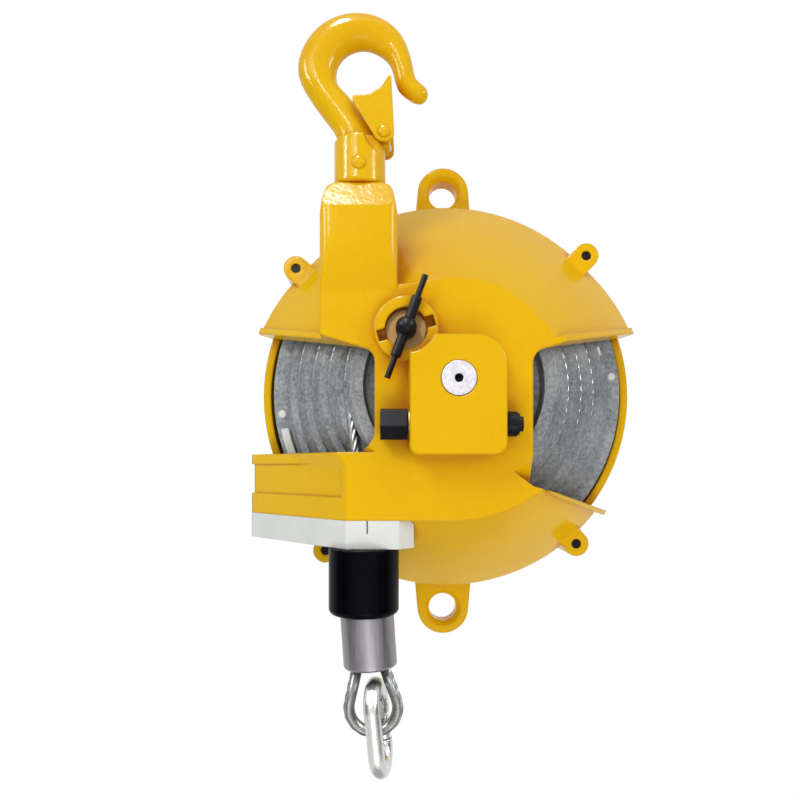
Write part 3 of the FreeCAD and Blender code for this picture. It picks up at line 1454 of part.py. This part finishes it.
# ---------------------------------------------------------------- snap link
def link_place(shape):
    """From the link's own plane, Y and Z, to where it hangs in the eye."""
    copy = shape.copy()
    copy.rotate(Vector(0, 0, 0), axis_z, -link_turn)
    copy.rotate(Vector(0, 0, eye_centre_z - thimble_inner), axis_y, -link_lean)
    copy.translate(Vector(load_x + link_side, load_y, 0))
    return leaned(copy)


def link_arc(centre_z, side):
    """Half a round, over the top or under the bottom of the link."""
    return Part.Arc(Vector(0, -link_half, centre_z), Vector(0, 0, centre_z + side * link_half),
                    Vector(0, link_half, centre_z)).toShape()


def snap_link():
    """A bent bar, closed on its far side by the gate."""
    edges = [Part.LineSegment(Vector(0, link_half, gate_top_z + 1.6),
                              Vector(0, link_half, link_top_z)).toShape()] \
        if gate_top_z + 1.6 < link_top_z else []
    path = [link_arc(link_top_z, 1),
            Part.LineSegment(Vector(0, -link_half, link_top_z),
                             Vector(0, -link_half, link_bottom_z)).toShape(),
            link_arc(link_bottom_z, -1)]
    wire = Part.Wire(Part.__sortEdges__(path))
    start = Vector(0, link_half, link_top_z)
    circle = Part.Wire(Part.Circle(start, axis_z, link_rod).toShape())
    bar = Part.Wire(wire).makePipeShell([circle], True, True)
    fork = Part.makeCylinder(link_rod, link_top_z - gate_top_z + 4.2,
                             Vector(0, link_half, gate_top_z - 4.2))
    nose = Part.makeCylinder(link_rod, 1.0, Vector(0, link_half, link_bottom_z))
    body = union([bar, fork, nose])
    slot = box(-1.8, 1.8, link_half - 8, link_half + 8, gate_top_z - 6, gate_top_z + 3.6)
    pin_hole = along_x(1.5 + seat_play, -10, 10, link_half, gate_top_z)
    return link_place(single(less(body, [slot, pin_hole])))


def link_gate():
    """The sprung gate: a tongue in the link's fork, then a round bar down to the nose."""
    tongue = box(-1.5, 1.5, link_half - 2.6, link_half + 2.6, gate_top_z - 7.5, gate_top_z)
    head = along_x(2.6, -1.5, 1.5, link_half, gate_top_z)
    bar = Part.makeCylinder(link_rod - 0.5, gate_top_z - 6.0 - gate_end_z,
                            Vector(0, link_half, gate_end_z))
    body = union([tongue, head, bar])
    hole = along_x(1.5 + shaft_play, -10, 10, link_half, gate_top_z)
    return link_place(single(body.cut(hole)))


def gate_pin():
    return link_place(along_x(1.5, -link_rod, link_rod, link_half, gate_top_z))


# ---------------------------------------------------------------- output
def build():
    front_inner, front_outer, front_balls = bearing(front_bearing_y)
    rear_inner, rear_outer, rear_balls = bearing(rear_bearing_y)
    return {
        "front_casing": front_casing(),
        "rear_casing": rear_casing(),
        "casing_screws": casing_screws(),
        "guide_block": guide_block(),
        "guide_screws": guide_screws(),
        "gear_cover": gear_cover(),
        "cover_screws": cover_screws(),
        "shaft_bush": shaft_bush(),
        "worm_bushes": worm_bushes(),
        "lock_bush": lock_bush(),
        "swivel_washer": swivel_washer(),
        "main_shaft": main_shaft(),
        "worm_wheel": worm_wheel(),
        "gear_key": gear_key(),
        "spring_arbor": spring_arbor(),
        "shaft_washer": shaft_washer(),
        "shaft_circlip": shaft_circlip(),
        "worm": worm(),
        "worm_washer": worm_washer(),
        "worm_circlip": worm_circlip(),
        "drum": drum(),
        "drum_rivets": drum_rivets(),
        "spring_case": spring_case(),
        "spring_cover": spring_cover(),
        "mainspring": mainspring(),
        "bearing_inner_rings": Part.makeCompound([front_inner, rear_inner]),
        "bearing_outer_rings": Part.makeCompound([front_outer, rear_outer]),
        "bearing_balls": Part.makeCompound(front_balls + rear_balls),
        "rope_wound": rope_wound(),
        "rope_anchor": rope_anchor(),
        "rope_fall": rope_fall(),
        "bumper": bumper(),
        "ferrule": ferrule(),
        "thimble": thimble(),
        "rope_eye": rope_eye(),
        "snap_link": snap_link(),
        "link_gate": link_gate(),
        "gate_pin": gate_pin(),
        "hook": hook(),
        "hook_cross_pin": hook_cross_pin(),
        "swivel_stud": swivel_stud(),
        "latch": latch(),
        "latch_rivet": latch_rivet(),
        "latch_spring": latch_spring(),
        "lock_pin": lock_pin(),
        "lock_spring": lock_spring(),
        "lock_handle": lock_handle(),
    }


os.makedirs("parts", exist_ok=True)
for name, shape in build().items():
    shape.translate(origin.negative())
    shape.exportStep(f"parts/{name}.step")
    print(f"{name}: {len(shape.Solids)} solids, {shape.Volume / 1000:.2f} cm3, "
          f"valid {shape.isValid()}")
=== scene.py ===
# %% [markdown]
# # Spring tool balancer
#
# A tool balancer hangs over a work place by its hook and carries a hand tool on a wire rope.
# The rope winds on a cone: the mainspring pulls harder the further it is wound up, and the cone's
# growing radius evens that out, so the tool feels almost weightless at any height.
#
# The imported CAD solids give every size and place. This script gives them their surfaces, builds
# the pieces that a plain solid can't show, such as the laid wire rope, and sets the picture.
# Everything is in metres, in the CAD's own frame: the origin is the middle of the hook's bowl,
# X to the right, Y to the rear along the drum's axis, Z up.

# %% Load the frame
import json
from math import cos, pi, radians, sin, sqrt

import bmesh
import bpy
from mathutils import Matrix, Vector


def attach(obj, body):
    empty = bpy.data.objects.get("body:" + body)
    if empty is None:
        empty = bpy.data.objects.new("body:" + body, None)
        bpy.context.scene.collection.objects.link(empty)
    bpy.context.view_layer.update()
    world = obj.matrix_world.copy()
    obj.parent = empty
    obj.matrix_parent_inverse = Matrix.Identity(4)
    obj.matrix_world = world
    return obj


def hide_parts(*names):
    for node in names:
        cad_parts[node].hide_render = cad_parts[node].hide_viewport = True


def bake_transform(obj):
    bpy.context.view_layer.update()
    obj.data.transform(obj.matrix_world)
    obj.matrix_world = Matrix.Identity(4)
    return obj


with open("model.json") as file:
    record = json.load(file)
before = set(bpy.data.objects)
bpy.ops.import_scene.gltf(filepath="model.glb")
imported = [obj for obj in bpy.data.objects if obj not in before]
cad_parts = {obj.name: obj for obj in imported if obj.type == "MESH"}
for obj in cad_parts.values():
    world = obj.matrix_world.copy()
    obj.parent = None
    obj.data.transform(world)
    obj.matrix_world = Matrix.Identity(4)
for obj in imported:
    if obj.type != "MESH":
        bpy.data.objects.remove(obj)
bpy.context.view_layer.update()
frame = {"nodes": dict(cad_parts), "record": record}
nodes = frame["nodes"]

# %% [markdown]
# ## Shader maths
#
# A material here is a formula over the object's own coordinates. Written with raw nodes such a
# formula is hard to read, so a value in the node tree is wrapped in a small class: plus, minus
# and times on it add the right maths node. One method adds any other node.

# %% Field: a value that varies over a surface
class Field:
    def __init__(self, finish, socket):
        self.finish = finish
        self.socket = socket

    def maths(self, operation, first, second):
        return self.finish.node("ShaderNodeMath", {"operation": operation}, {0: first, 1: second})

    def __add__(self, other):
        return self.maths("ADD", self, other)

    def __sub__(self, other):
        return self.maths("SUBTRACT", self, other)

    def __rsub__(self, other):
        return self.maths("SUBTRACT", other, self)

    def __mul__(self, other):
        return self.maths("MULTIPLY", self, other)

    __radd__ = __add__
    __rmul__ = __mul__

    def ramp(self, low, high):
        """0 below low, 1 above high, straight between."""
        return self.finish.node("ShaderNodeMapRange", {"clamp": True},
                                {"Value": self, "From Min": low, "From Max": high})

    def between(self, first, second):
        """The first colour where this is 0, the second where it is 1."""
        return self.finish.node("ShaderNodeMix", {"data_type": "RGBA"},
                                {"Factor": self, 6: first, 7: second}, output=2)


# %% Finish: one procedural material
class Finish:
    def __init__(self, name):
        self.material = bpy.data.materials.new(name)
        self.material.use_nodes = True
        self.tree = self.material.node_tree
        self.shader = self.tree.nodes["Principled BSDF"]
        self.place = self.node("ShaderNodeTexCoord", {}, {}, output="Object")

    def node(self, kind, settings, inputs, output=0):
        """Adds a node: its settings first, then a value or a link for each named socket."""
        node = self.tree.nodes.new(kind)
        for name, value in settings.items():
            setattr(node, name, value)
        for name, value in inputs.items():
            self.feed(node.inputs[name], value)
        return Field(self, node.outputs[output])

    def feed(self, socket, value):
        if isinstance(value, Field):
            self.tree.links.new(value.socket, socket)
        elif socket.type == "RGBA":
            socket.default_value = (*value, 1.0)
        else:
            socket.default_value = value

    def set(self, **inputs):
        for name, value in inputs.items():
            self.feed(self.shader.inputs[name.replace("_", " ")], value)

    def stretched(self, scale):
        return self.node("ShaderNodeMapping", {}, {"Vector": self.place, "Scale": scale})

    def noise(self, size, detail=3.0, roughness=0.5, scale=(1, 1, 1)):
        """Soft noise whose blobs are about size metres across."""
        return self.node("ShaderNodeTexNoise", {},
                         {"Vector": self.stretched(scale), "Scale": 0.5 / size,
                          "Detail": detail, "Roughness": roughness})

    def cells(self, size):
        return self.node("ShaderNodeTexVoronoi", {},
                         {"Vector": self.place, "Scale": 1 / size}, output="Distance")

    def bump(self, height, depth, soften):
        """A height field from 0 to 1 that stands depth metres; edges are softened by soften."""
        rounded = self.node("ShaderNodeBevel", {"samples": 6}, {"Radius": soften}, "Normal")
        relief = self.node("ShaderNodeBump", {}, {"Distance": depth, "Height": height,
                                                  "Normal": rounded})
        self.set(Normal=relief)


print("shader helpers ready")

# %% [markdown]
# ## Enamel on cast aluminium
#
# The casings are castings, blasted and sprayed with a golden yellow enamel. It is thick and
# glossy, so it rounds every edge and shows a slight waviness like orange peel, with a grain of
# the rough casting under it. Corners and recesses get painted shade: their colour turns to a
# darker orange where the surface is hemmed in. A low specular level keeps the pigment clean:
# the shine comes from small bright reflections of the lamps.

# %% Yellow enamels
# Painted shade: the darker orange put into corners and recesses.
painted_recess_shade = (0.60, 0.20, 0.001)


def enamel(name, light, deep, peel, soften):
    finish = Finish(name)
    clouds = finish.noise(0.05, 2.0)
    specks = finish.noise(0.0012, 2.0)
    coat = (clouds * 0.8 + specks * 0.25).ramp(0.35, 0.75).between(deep, light)
    # Painted shade: where the surface is hemmed in, its colour turns to the darker orange.
    occlusion_for_painted_shade = finish.node("ShaderNodeAmbientOcclusion", {"samples": 8},
                           {"Distance": 0.012}, "AO")
    finish.set(Base_Color=occlusion_for_painted_shade.ramp(0.25, 0.85).between(painted_recess_shade, coat),
               Roughness=clouds * 0.08 + 0.14, Specular_IOR_Level=0.11)
    waves = finish.noise(0.0045, 2.0) * 0.65 + finish.noise(0.0010, 2.0) * 0.35
    finish.bump(waves, peel, soften)
    return finish.material


looks = {
    "casing_enamel": enamel("casing_enamel", (0.87, 0.53, 0.003), (0.81, 0.44, 0.001),
                            0.00030, 0.0018),
    "hook_enamel": enamel("hook_enamel", (0.85, 0.51, 0.004), (0.77, 0.42, 0.002),
                          0.00034, 0.0012),
}
print("enamels:", *looks)

# %% [markdown]
# ## Metals
#
# Turned and pressed pieces are plain steel: fine marks from the tool, and darker patches where
# it has been handled. Noise that is stretched along one axis gives a drawn or turned grain. The
# hexagon and the lock's bar are blackened, the sleeve on the rope is pressed aluminium, and the
# link and thimble are galvanised and tumbled, so they gleam but don't mirror.

# %% Steel, zinc, bronze, aluminium
def metal(name, colour, rough, grain=0.0006, depth=0.00003, scale=(1, 1, 1), soften=0.0003,
          spread=0.12, metallic=1.0):
    finish = Finish(name)
    coarse = finish.noise(0.006, 3.0, scale=scale)
    fine = finish.noise(grain, 3.0, scale=scale)
    dark = tuple(c * (1 - 2 * spread) for c in colour)
    finish.set(Base_Color=(coarse * 0.5 + fine * 0.5).ramp(0.3, 0.7).between(dark, colour),
               Metallic=metallic, Roughness=fine * 0.15 + rough)
    finish.bump(fine, depth, soften)
    return finish.material


looks |= {
    "rope_steel": metal("rope_steel", (0.34, 0.355, 0.365), 0.34, spread=0.2),
    "steel": metal("steel", (0.78, 0.76, 0.79), 0.34, spread=0.06),
    "bright_steel": metal("bright_steel", (0.70, 0.72, 0.69), 0.22, spread=0.12,
                          depth=0.00006),
    "spring_steel": metal("spring_steel", (0.3, 0.31, 0.34), 0.3),
    "bronze": metal("bronze", (0.32, 0.19, 0.075), 0.36),
    "anchor_zinc": metal("anchor_zinc", (0.84, 0.85, 0.83), 0.4, metallic=0.0),
    "thimble_zinc": metal("thimble_zinc", (0.30, 0.31, 0.285), 0.34, spread=0.25,
                          depth=0.00010),
    "sleeve_aluminium": metal("sleeve_aluminium", (0.28, 0.268, 0.288), 0.30,
                              scale=(1, 1, 0.12), depth=0.00005, spread=0.12),
    "rivet_zinc": metal("rivet_zinc", (0.86, 0.86, 0.84), 0.35, metallic=0.0),
}


# %% The main shaft, with painted shade: a black disc at its centre for a bore
def shaft_steel(centre_x=0.0422, centre_z=-0.1455, hole_shade_radius=0.0017):
    finish = Finish("shaft_steel")
    middle = finish.node("ShaderNodeVectorMath", {"operation": "SUBTRACT"},
                         {0: finish.place, 1: (centre_x, 0, centre_z)})
    across = finish.node("ShaderNodeVectorMath", {"operation": "MULTIPLY"},
                         {0: middle, 1: (1, 0, 1)})
    reach = finish.node("ShaderNodeVectorMath", {"operation": "LENGTH"}, {0: across},
                        output="Value")
    turned = finish.noise(0.0008, 3.0)
    bright = turned.ramp(0.3, 0.7).between((0.46, 0.45, 0.48), (0.60, 0.58, 0.61))
    # Painted shade: inside this radius the end face is black, standing for the shadow in a centre
    # bore.
    finish.set(Base_Color=reach.ramp(hole_shade_radius, hole_shade_radius * 1.2).between((0.01, 0.01, 0.012), bright),
               Metallic=0.7, Roughness=turned * 0.15 + 0.38)
    finish.bump(turned, 0.00004, 0.0003)
    return finish.material


looks["shaft_steel"] = shaft_steel()


# %% Blackened steel
def blackened(name, colour, rough):
    finish = Finish(name)
    coarse, fine = finish.noise(0.005, 3.0), finish.noise(0.0007, 3.0)
    worn = (coarse * 0.6 + fine * 0.4).ramp(0.5, 0.8)
    finish.set(Base_Color=worn.between(colour, tuple(c * 2.2 for c in colour)),
               Roughness=fine * 0.2 + rough, Specular_IOR_Level=0.12)
    finish.bump(fine, 0.00005, 0.0005)
    return finish.material


looks |= {
    "black_steel": blackened("black_steel", (0.006, 0.005, 0.008), 0.30),
    "case_steel": blackened("case_steel", (0.035, 0.035, 0.04), 0.45),
}
print("metals:", *list(looks)[2:])

# %% [markdown]
# ## Drum, nylon and rubber
#
# The drum is a grey casting left bare: fine mottling of light grains and dark pores, dull enough
# that it shows no lamp. The rope guide is milky nylon with a little light under its skin, and
# the stop buffer is deep black rubber.

# %% Grey casting
def cast_grey():
    finish = Finish("drum_cast")
    coarse = finish.noise(0.010, 3.0)
    fine = finish.noise(0.0009, 4.0, 0.7)
    pores = finish.cells(0.0022).ramp(0.05, 0.35)
    tone = (coarse * 0.35 + fine * 0.65).ramp(0.36, 0.66)
    finish.set(Base_Color=tone.between((0.11, 0.12, 0.127), (0.34, 0.357, 0.37)),
               Metallic=0.2, Roughness=fine * 0.2 + 0.42, Specular_IOR_Level=0.3)
    finish.bump(fine * 0.7 + pores * 0.3, 0.00028, 0.0006)
    return finish.material


# %% Nylon and rubber
def nylon():
    finish = Finish("nylon")
    clouds = finish.noise(0.012, 2.0)
    finish.set(Base_Color=clouds.ramp(0.3, 0.7).between((0.72, 0.735, 0.69), (0.80, 0.81, 0.77)),
               Roughness=clouds * 0.1 + 0.38, Specular_IOR_Level=0.3, Subsurface_Weight=0.12)
    finish.shader.inputs["Subsurface Radius"].default_value = (0.004, 0.004, 0.003)
    finish.bump(finish.noise(0.0015, 2.0), 0.00005, 0.0009)
    return finish.material


def rubber():
    finish = Finish("rubber")
    clouds = finish.noise(0.01, 3.0)
    finish.set(Base_Color=clouds.ramp(0.3, 0.7).between((0.001, 0.001, 0.002),
                                                        (0.002, 0.002, 0.003)),
               Roughness=clouds * 0.12 + 0.22, Specular_IOR_Level=0.04)
    finish.bump(finish.noise(0.0012, 3.0), 0.00004, 0.0009)
    return finish.material


looks |= {"drum_cast": cast_grey(), "nylon": nylon(), "rubber": rubber()}
print(len(looks), "finishes")

# %% [markdown]
# ## Finishes on the CAD nodes
#
# The record names a material slot for each node, and a finish above has the same name. A few
# small pieces at the right of the gearbox are blackened, whatever their family.

# %% Put the finishes on
slots = {part["node"]: part["material_slot"] for part in frame["record"]["subparts"]}
finish_of = slots | {"worm_washer": "black_steel", "worm_circlip": "black_steel",
                     "rope_anchor": "anchor_zinc", "main_shaft": "shaft_steel"}
for name, node in nodes.items():
    if not node.data.materials:
        node.data.materials.append(None)
    for slot in node.material_slots:
        slot.material = looks[finish_of[name]]
print("finishes on", len(nodes), "nodes")

# %% A new piece in place of a CAD node
def new_piece(name, bm, look, node):
    for face in bm.faces:
        face.smooth = True
    mesh = bpy.data.meshes.new(name)
    bm.to_mesh(mesh)
    bm.free()
    mesh.materials.append(looks[look])
    piece = bpy.data.objects.new(name, mesh)
    bpy.context.scene.collection.objects.link(piece)
    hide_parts(node)
    print(name, "has", len(mesh.polygons), "faces and stands for", node)
    return piece


# %% [markdown]
# ## Laid wire rope
#
# A wire rope is strands laid round a core, so its outline has six rounded lobes that turn once
# in about six diameters. A curve is the easiest way: its bevel object is the lobed section, and
# the tilt of its points turns the section as it goes. A smooth NURBS line carries it. On the cone
# that line is a conical spiral in the drum's groove; the free part comes off the cone's small
# end and goes through the guide into the sleeve; the last part lies in the thimble's groove.

# %% The rope's section
rope_radius = 0.0024
strands = 6
lay_length = 0.031


def strand_section():
    """A closed flat curve: the outline of six touching strands round a core."""
    strand = rope_radius / 3
    ring = rope_radius - strand
    curve = bpy.data.curves.new("strand_section", "CURVE")
    spline = curve.splines.new("POLY")
    points = 5 * strands
    spline.points.add(points - 1)
    for i, point in enumerate(spline.points):
        angle = 2 * pi * i / points
        offset = (angle + pi / strands) % (2 * pi / strands) - pi / strands
        reach = ring * cos(offset) + sqrt(max(strand ** 2 - (ring * sin(offset)) ** 2, 0))
        point.co = (reach * cos(angle), reach * sin(angle), 0, 1)
    spline.use_cyclic_u = True
    return bpy.data.objects.new("strand_section", curve)


section = strand_section()
print("section of", strands, "strands")


# %% A rope along a line
def laid_rope(name, route, node, steps):
    """A rope through the route's points, standing for a CAD node."""
    curve = bpy.data.curves.new(name, "CURVE")
    curve.dimensions = "3D"
    curve.twist_mode = "MINIMUM"
    curve.bevel_mode = "OBJECT"
    curve.bevel_object = section
    curve.use_fill_caps = True
    spline = curve.splines.new("NURBS")
    spline.points.add(len(route) - 1)
    travelled = 0.0
    for i, (point, place) in enumerate(zip(spline.points, route)):
        travelled += (place - route[max(i - 1, 0)]).length
        point.co = (*place, 1)
        point.tilt = 2 * pi * travelled / lay_length
    spline.order_u = 3
    spline.use_endpoint_u = True
    spline.resolution_u = steps
    holder = bpy.data.objects.new(name, curve)
    bpy.context.scene.collection.objects.link(holder)
    bpy.context.view_layer.update()
    mesh = bpy.data.meshes.new_from_object(holder.evaluated_get(
        bpy.context.evaluated_depsgraph_get()))
    bpy.data.objects.remove(holder)
    print(name, "is", round(travelled, 3), "m long")
    bm = bmesh.new()
    bm.from_mesh(mesh)
    bmesh.ops.remove_doubles(bm, verts=bm.verts, dist=1e-6)
    bmesh.ops.recalc_face_normals(bm, faces=bm.faces)
    return new_piece(name, bm, "rope_steel", node)


# %% Rope on the cone
drum_axis = Vector((0.0422, 0.05, -0.1455))
first_radius, first_y = 0.0496, -0.048
radial_pitch, axial_pitch = 0.0087, 0.0096
turns = 3.45


def cone_route(points_per_turn=24):
    """The groove's spiral, slightly wide, because the smooth line cuts inside its points."""
    wide = 1 / cos(pi / points_per_turn)
    count = round(turns * points_per_turn)
    route = []
    for i in range(count + 1):
        turn = turns * i / count
        angle = pi - 2 * pi * turn
        radius = (first_radius + radial_pitch * turn) * wide
        route.append(drum_axis + Vector((radius * cos(angle), first_y + axial_pitch * turn,
                                         radius * sin(angle))))
    return route


cone_rope = laid_rope("rope_on_cone", cone_route(), "rope_wound", 9)
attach(cone_rope, "drum_body")

# %% [markdown]
# The free part runs from the cone down through the guide into the sleeve. It is one fixed piece,
# joined to no body.

# %% Rope down to the sleeve
fall_route = [drum_axis + Vector(place) / 1000 for place in (
    (-49.5, -48.02, -0.5), (-48.9, -48.2, -9.0), (-46.5, -48.9, -30.0), (-43.6, -49.6, -52.0),
    (-42.3, -50.0, -66.0), (-42.2, -50.0, -80.0), (-41.8, -50.0, -90.0), (-41.2, -50.0, -100.0))]
fall_rope = laid_rope("rope_down", fall_route, "rope_fall", 14)
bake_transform(fall_rope)

# %% [markdown]
# ## Eye and thimble
#
# Under the sleeve the rope turns back on itself round a thimble, which keeps the link from
# bending it too sharply. A thimble is a strip pressed into a channel and bent into a drop. Here
# a point spun half round the rope's middle gives the channel's curve, a short pull gives its
# lips, a second spin bends it round the eye, and a pull along each leg closes it under the
# sleeve. A solidify modifier gives the sheet its thickness. The sleeve and eye lie over a little.

# %% The eye's line
eye_centre = Vector((0, 0, -0.297))
eye_radius = 0.01182         # the rope's middle line
leg_angle = radians(16.6)    # each leg leaves the round part at this angle
leg_length = 0.0205
lean = (Matrix.Translation((0.001, 0, -0.2457)) @ Matrix.Rotation(radians(-3.9), 4, "Y")
        @ Matrix.Translation((0, 0, 0.2457)))
arc_start, arc_turn = pi - leg_angle, pi + 2 * leg_angle


def eye_place(angle, radius=eye_radius):
    return eye_centre + Vector((radius * cos(angle), 0, radius * sin(angle)))


def leg_way(side):
    """The way up along a leg: -1 is the left one, 1 the right one."""
    return Vector((-side * sin(leg_angle), 0, cos(leg_angle)))


def eye_route(arc_points=16):
    wide = eye_radius / cos(arc_turn / arc_points / 2)
    arc = [eye_place(arc_start + arc_turn * (i + 0.5) / arc_points, wide)
           for i in range(arc_points)]
    left, right = eye_place(arc_start), eye_place(arc_start + arc_turn)
    leg_steps = (1.0, 0.5)
    route = [left + leg_way(-1) * leg_length * step for step in leg_steps]
    route += arc
    route += [right + leg_way(1) * leg_length * step for step in reversed(leg_steps)]
    return [lean @ place for place in route]


eye_rope = laid_rope("rope_in_eye", eye_route(), "rope_eye", 9)
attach(eye_rope, "load")

# %% The thimble's channel
lip_pull = 0.0010
sheet_thickness = 0.0010
rope_play = 0.0001
sheet_leg = leg_length * 0.82    # the sheet ends sooner than the rope


def channel_surface(bm):
    middle = eye_place(arc_start)
    outward = (middle - eye_centre).normalized()
    along = Vector((-sin(arc_start), 0, cos(arc_start)))
    first = bm.verts.new(middle + Vector((0, -rope_radius - rope_play, 0)))
    spun = bmesh.ops.spin(bm, geom=[first], cent=middle, axis=along, angle=-pi, steps=14)
    last = [item for item in spun["geom_last"] if isinstance(item, bmesh.types.BMVert)]
    for tip in (first, last[0]):
        pulled = bmesh.ops.extrude_vert_indiv(bm, verts=[tip])
        bmesh.ops.translate(bm, verts=pulled["verts"], vec=outward * lip_pull)
    profile = list(bm.verts) + list(bm.edges)
    start_edges = list(bm.edges)
    bent = bmesh.ops.spin(bm, geom=profile, cent=eye_centre, axis=(0, -1, 0), angle=arc_turn,
                          steps=30)
    end_edges = [item for item in bent["geom_last"] if isinstance(item, bmesh.types.BMEdge)]
    for side, edges in ((-1, start_edges), (1, end_edges)):
        leg = bmesh.ops.extrude_edge_only(bm, edges=edges)["geom"]
        ends = [item for item in leg if isinstance(item, bmesh.types.BMVert)]
        bmesh.ops.translate(bm, verts=ends, vec=leg_way(side) * sheet_leg)


def thimble_channel():
    bm = bmesh.new()
    channel_surface(bm)
    bmesh.ops.recalc_face_normals(bm, faces=bm.faces)
    bmesh.ops.transform(bm, matrix=lean, verts=bm.verts)
    piece = new_piece("thimble_channel", bm, "thimble_zinc", "thimble")
    solid = piece.modifiers.new("sheet", "SOLIDIFY")
    solid.thickness = sheet_thickness
    solid.offset = 0
    return piece


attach(thimble_channel(), "load")


# %% [markdown]
# ## Domed rivets
#
# The barrel's pin and the latch's pivot are rivets: a plain shank, whose ends were hammered into
# low domes after it was put through. A dome is a sphere pressed flat.

# %% Rivets with domed heads
dome_height = 0.55           # as a share of the head's radius


def domed_rivet(name, place, shank, head, half, node):
    bm = bmesh.new()
    middle = Matrix.Translation(place)
    bmesh.ops.create_cone(bm, cap_ends=True, segments=32, radius1=shank, radius2=shank,
                          depth=2 * half, matrix=middle @ Matrix.Rotation(pi / 2, 4, "X"))
    for side in (-1, 1):
        end = Matrix.Translation(Vector(place) + Vector((0, side * half, 0)))
        dome = end @ Matrix.Diagonal((1, dome_height, 1, 1))
        bmesh.ops.create_uvsphere(bm, u_segments=32, v_segments=20, radius=head, matrix=dome)
    piece = new_piece(name, bm, "hook_enamel", node)
    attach(piece, "hanger")


domed_rivet("latch_pivot_rivet", (0.0096, 0, -0.0303), shank=0.0019, head=0.0029,
            half=0.01005, node="latch_rivet")
domed_rivet("barrel_rivet", (-0.0018, 0, -0.0452), shank=0.0030, head=0.0032,
            half=0.0118, node="hook_cross_pin")

# %% [markdown]
# ## Picture: camera, light and floor
#
# The camera stands close in front of the casing, a little to the left of the drum's axis and
# low, so the near gearbox and the load end look larger than the rim behind them. Two soft boxes
# and a plain sky light it evenly. Dark cards at both sides stand for the room: round steel shows
# them as darker edges. The sheen lights only show as small bright reflections in the enamel. The
# floor is pale and lies below the load's lowest place, out of sight.

# %% Camera
camera_data = bpy.data.cameras.new("camera")
camera_data.lens = 30.56
camera_data.sensor_width = 36.0
camera_data.shift_x = 0.00625
camera_data.shift_y = 0.085
camera_data.clip_start = 0.02
camera = bpy.data.objects.new("camera", camera_data)
camera.location = (0.0147, -0.320, -0.1842)
camera.rotation_euler = (radians(90), 0, 0)
bpy.context.scene.collection.objects.link(camera)
bpy.context.scene.camera = camera
bpy.context.scene.view_settings.view_transform = "Standard"


# %% Soft boxes
def soft_box(name, place, size, power, sheen_only=False):
    data = bpy.data.lights.new(name, "AREA")
    data.shape = "RECTANGLE"
    data.size, data.size_y = size
    data.energy = power
    light = bpy.data.objects.new(name, data)
    light.location = place
    light.visible_diffuse = not sheen_only
    aim = Vector((0.04, 0.0, -0.145)) - Vector(place)
    light.rotation_euler = aim.to_track_quat("-Z", "Y").to_euler()
    bpy.context.scene.collection.objects.link(light)


soft_box("key", (-0.45, -0.75, 0.45), (0.35, 0.35), 2.9)
soft_box("right", (0.85, -0.65, 0.10), (0.3, 0.6), 1.5)
soft_box("top", (0.1, -0.35, 0.9), (0.6, 0.3), 1.0)
soft_box("below", (0.1, -0.8, -0.7), (0.5, 0.3), 2.5)
soft_box("sheen_front", (-0.30, -0.95, 0.35), (0.07, 0.07), 4.5, sheen_only=True)
soft_box("sheen_above", (-0.14, -0.42, 0.75), (0.10, 0.10), 16.0, sheen_only=True)
soft_box("sheen_left", (-0.62, -0.30, 0.20), (0.05, 0.30), 6.0, sheen_only=True)
soft_box("sheen_right", (0.70, -0.30, 0.20), (0.05, 0.30), 5.0, sheen_only=True)


# %% White sky
world = bpy.data.worlds.new("white_sky")
world.use_nodes = True
tree = world.node_tree
sky = tree.nodes["Background"]
sky.inputs["Color"].default_value = (0.97, 0.98, 1, 1)
sky.inputs["Strength"].default_value = 0.58
seen = tree.nodes.new("ShaderNodeBackground")
seen.inputs["Color"].default_value = (1, 1, 1, 1)
seen.inputs["Strength"].default_value = 1.0
rays = tree.nodes.new("ShaderNodeLightPath")
either = rays.outputs["Is Camera Ray"]
for name in ("Is Glossy Ray", "Is Transmission Ray"):
    most = tree.nodes.new("ShaderNodeMath")
    most.operation = "MAXIMUM"
    tree.links.new(either, most.inputs[0])
    tree.links.new(rays.outputs[name], most.inputs[1])
    either = most.outputs[0]
mix = tree.nodes.new("ShaderNodeMixShader")
tree.links.new(either, mix.inputs[0])
tree.links.new(sky.outputs[0], mix.inputs[1])
tree.links.new(seen.outputs[0], mix.inputs[2])
tree.links.new(mix.outputs[0], tree.nodes["World Output"].inputs["Surface"])
bpy.context.scene.world = world


# %% Floor and dark card
def plain_sheet(name, tone, size, matrix):
    mesh = bpy.data.meshes.new(name)
    bm = bmesh.new()
    bmesh.ops.create_grid(bm, x_segments=1, y_segments=1, size=size / 2, matrix=matrix)
    bm.to_mesh(mesh)
    bm.free()
    finish = Finish(name)
    darker = tuple(c * 0.96 for c in tone)
    finish.set(Base_Color=finish.noise(0.05, 2.0).ramp(0.2, 0.8).between(darker, tone),
               Roughness=0.7, Specular_IOR_Level=0.2)
    mesh.materials.append(finish.material)
    sheet = bpy.data.objects.new(name, mesh)
    bpy.context.scene.collection.objects.link(sheet)
    return sheet


plain_sheet("floor_pale", (0.84, 0.84, 0.83), 1.8,
            Matrix.Translation((0.04, -0.1, -1.75)))
for side, name in ((-1, "room_card_left"), (1, "room_card_right")):
    card = plain_sheet(name, (0.03, 0.03, 0.03), 1.1,
                       Matrix.Translation((0.04 + side * 1.1, -0.45, -0.15))
                       @ Matrix.Rotation(pi / 2, 4, "Y"))
    card.visible_camera = False
    card.visible_diffuse = False
    card.visible_shadow = False
print("camera, lights, sky and floor set")
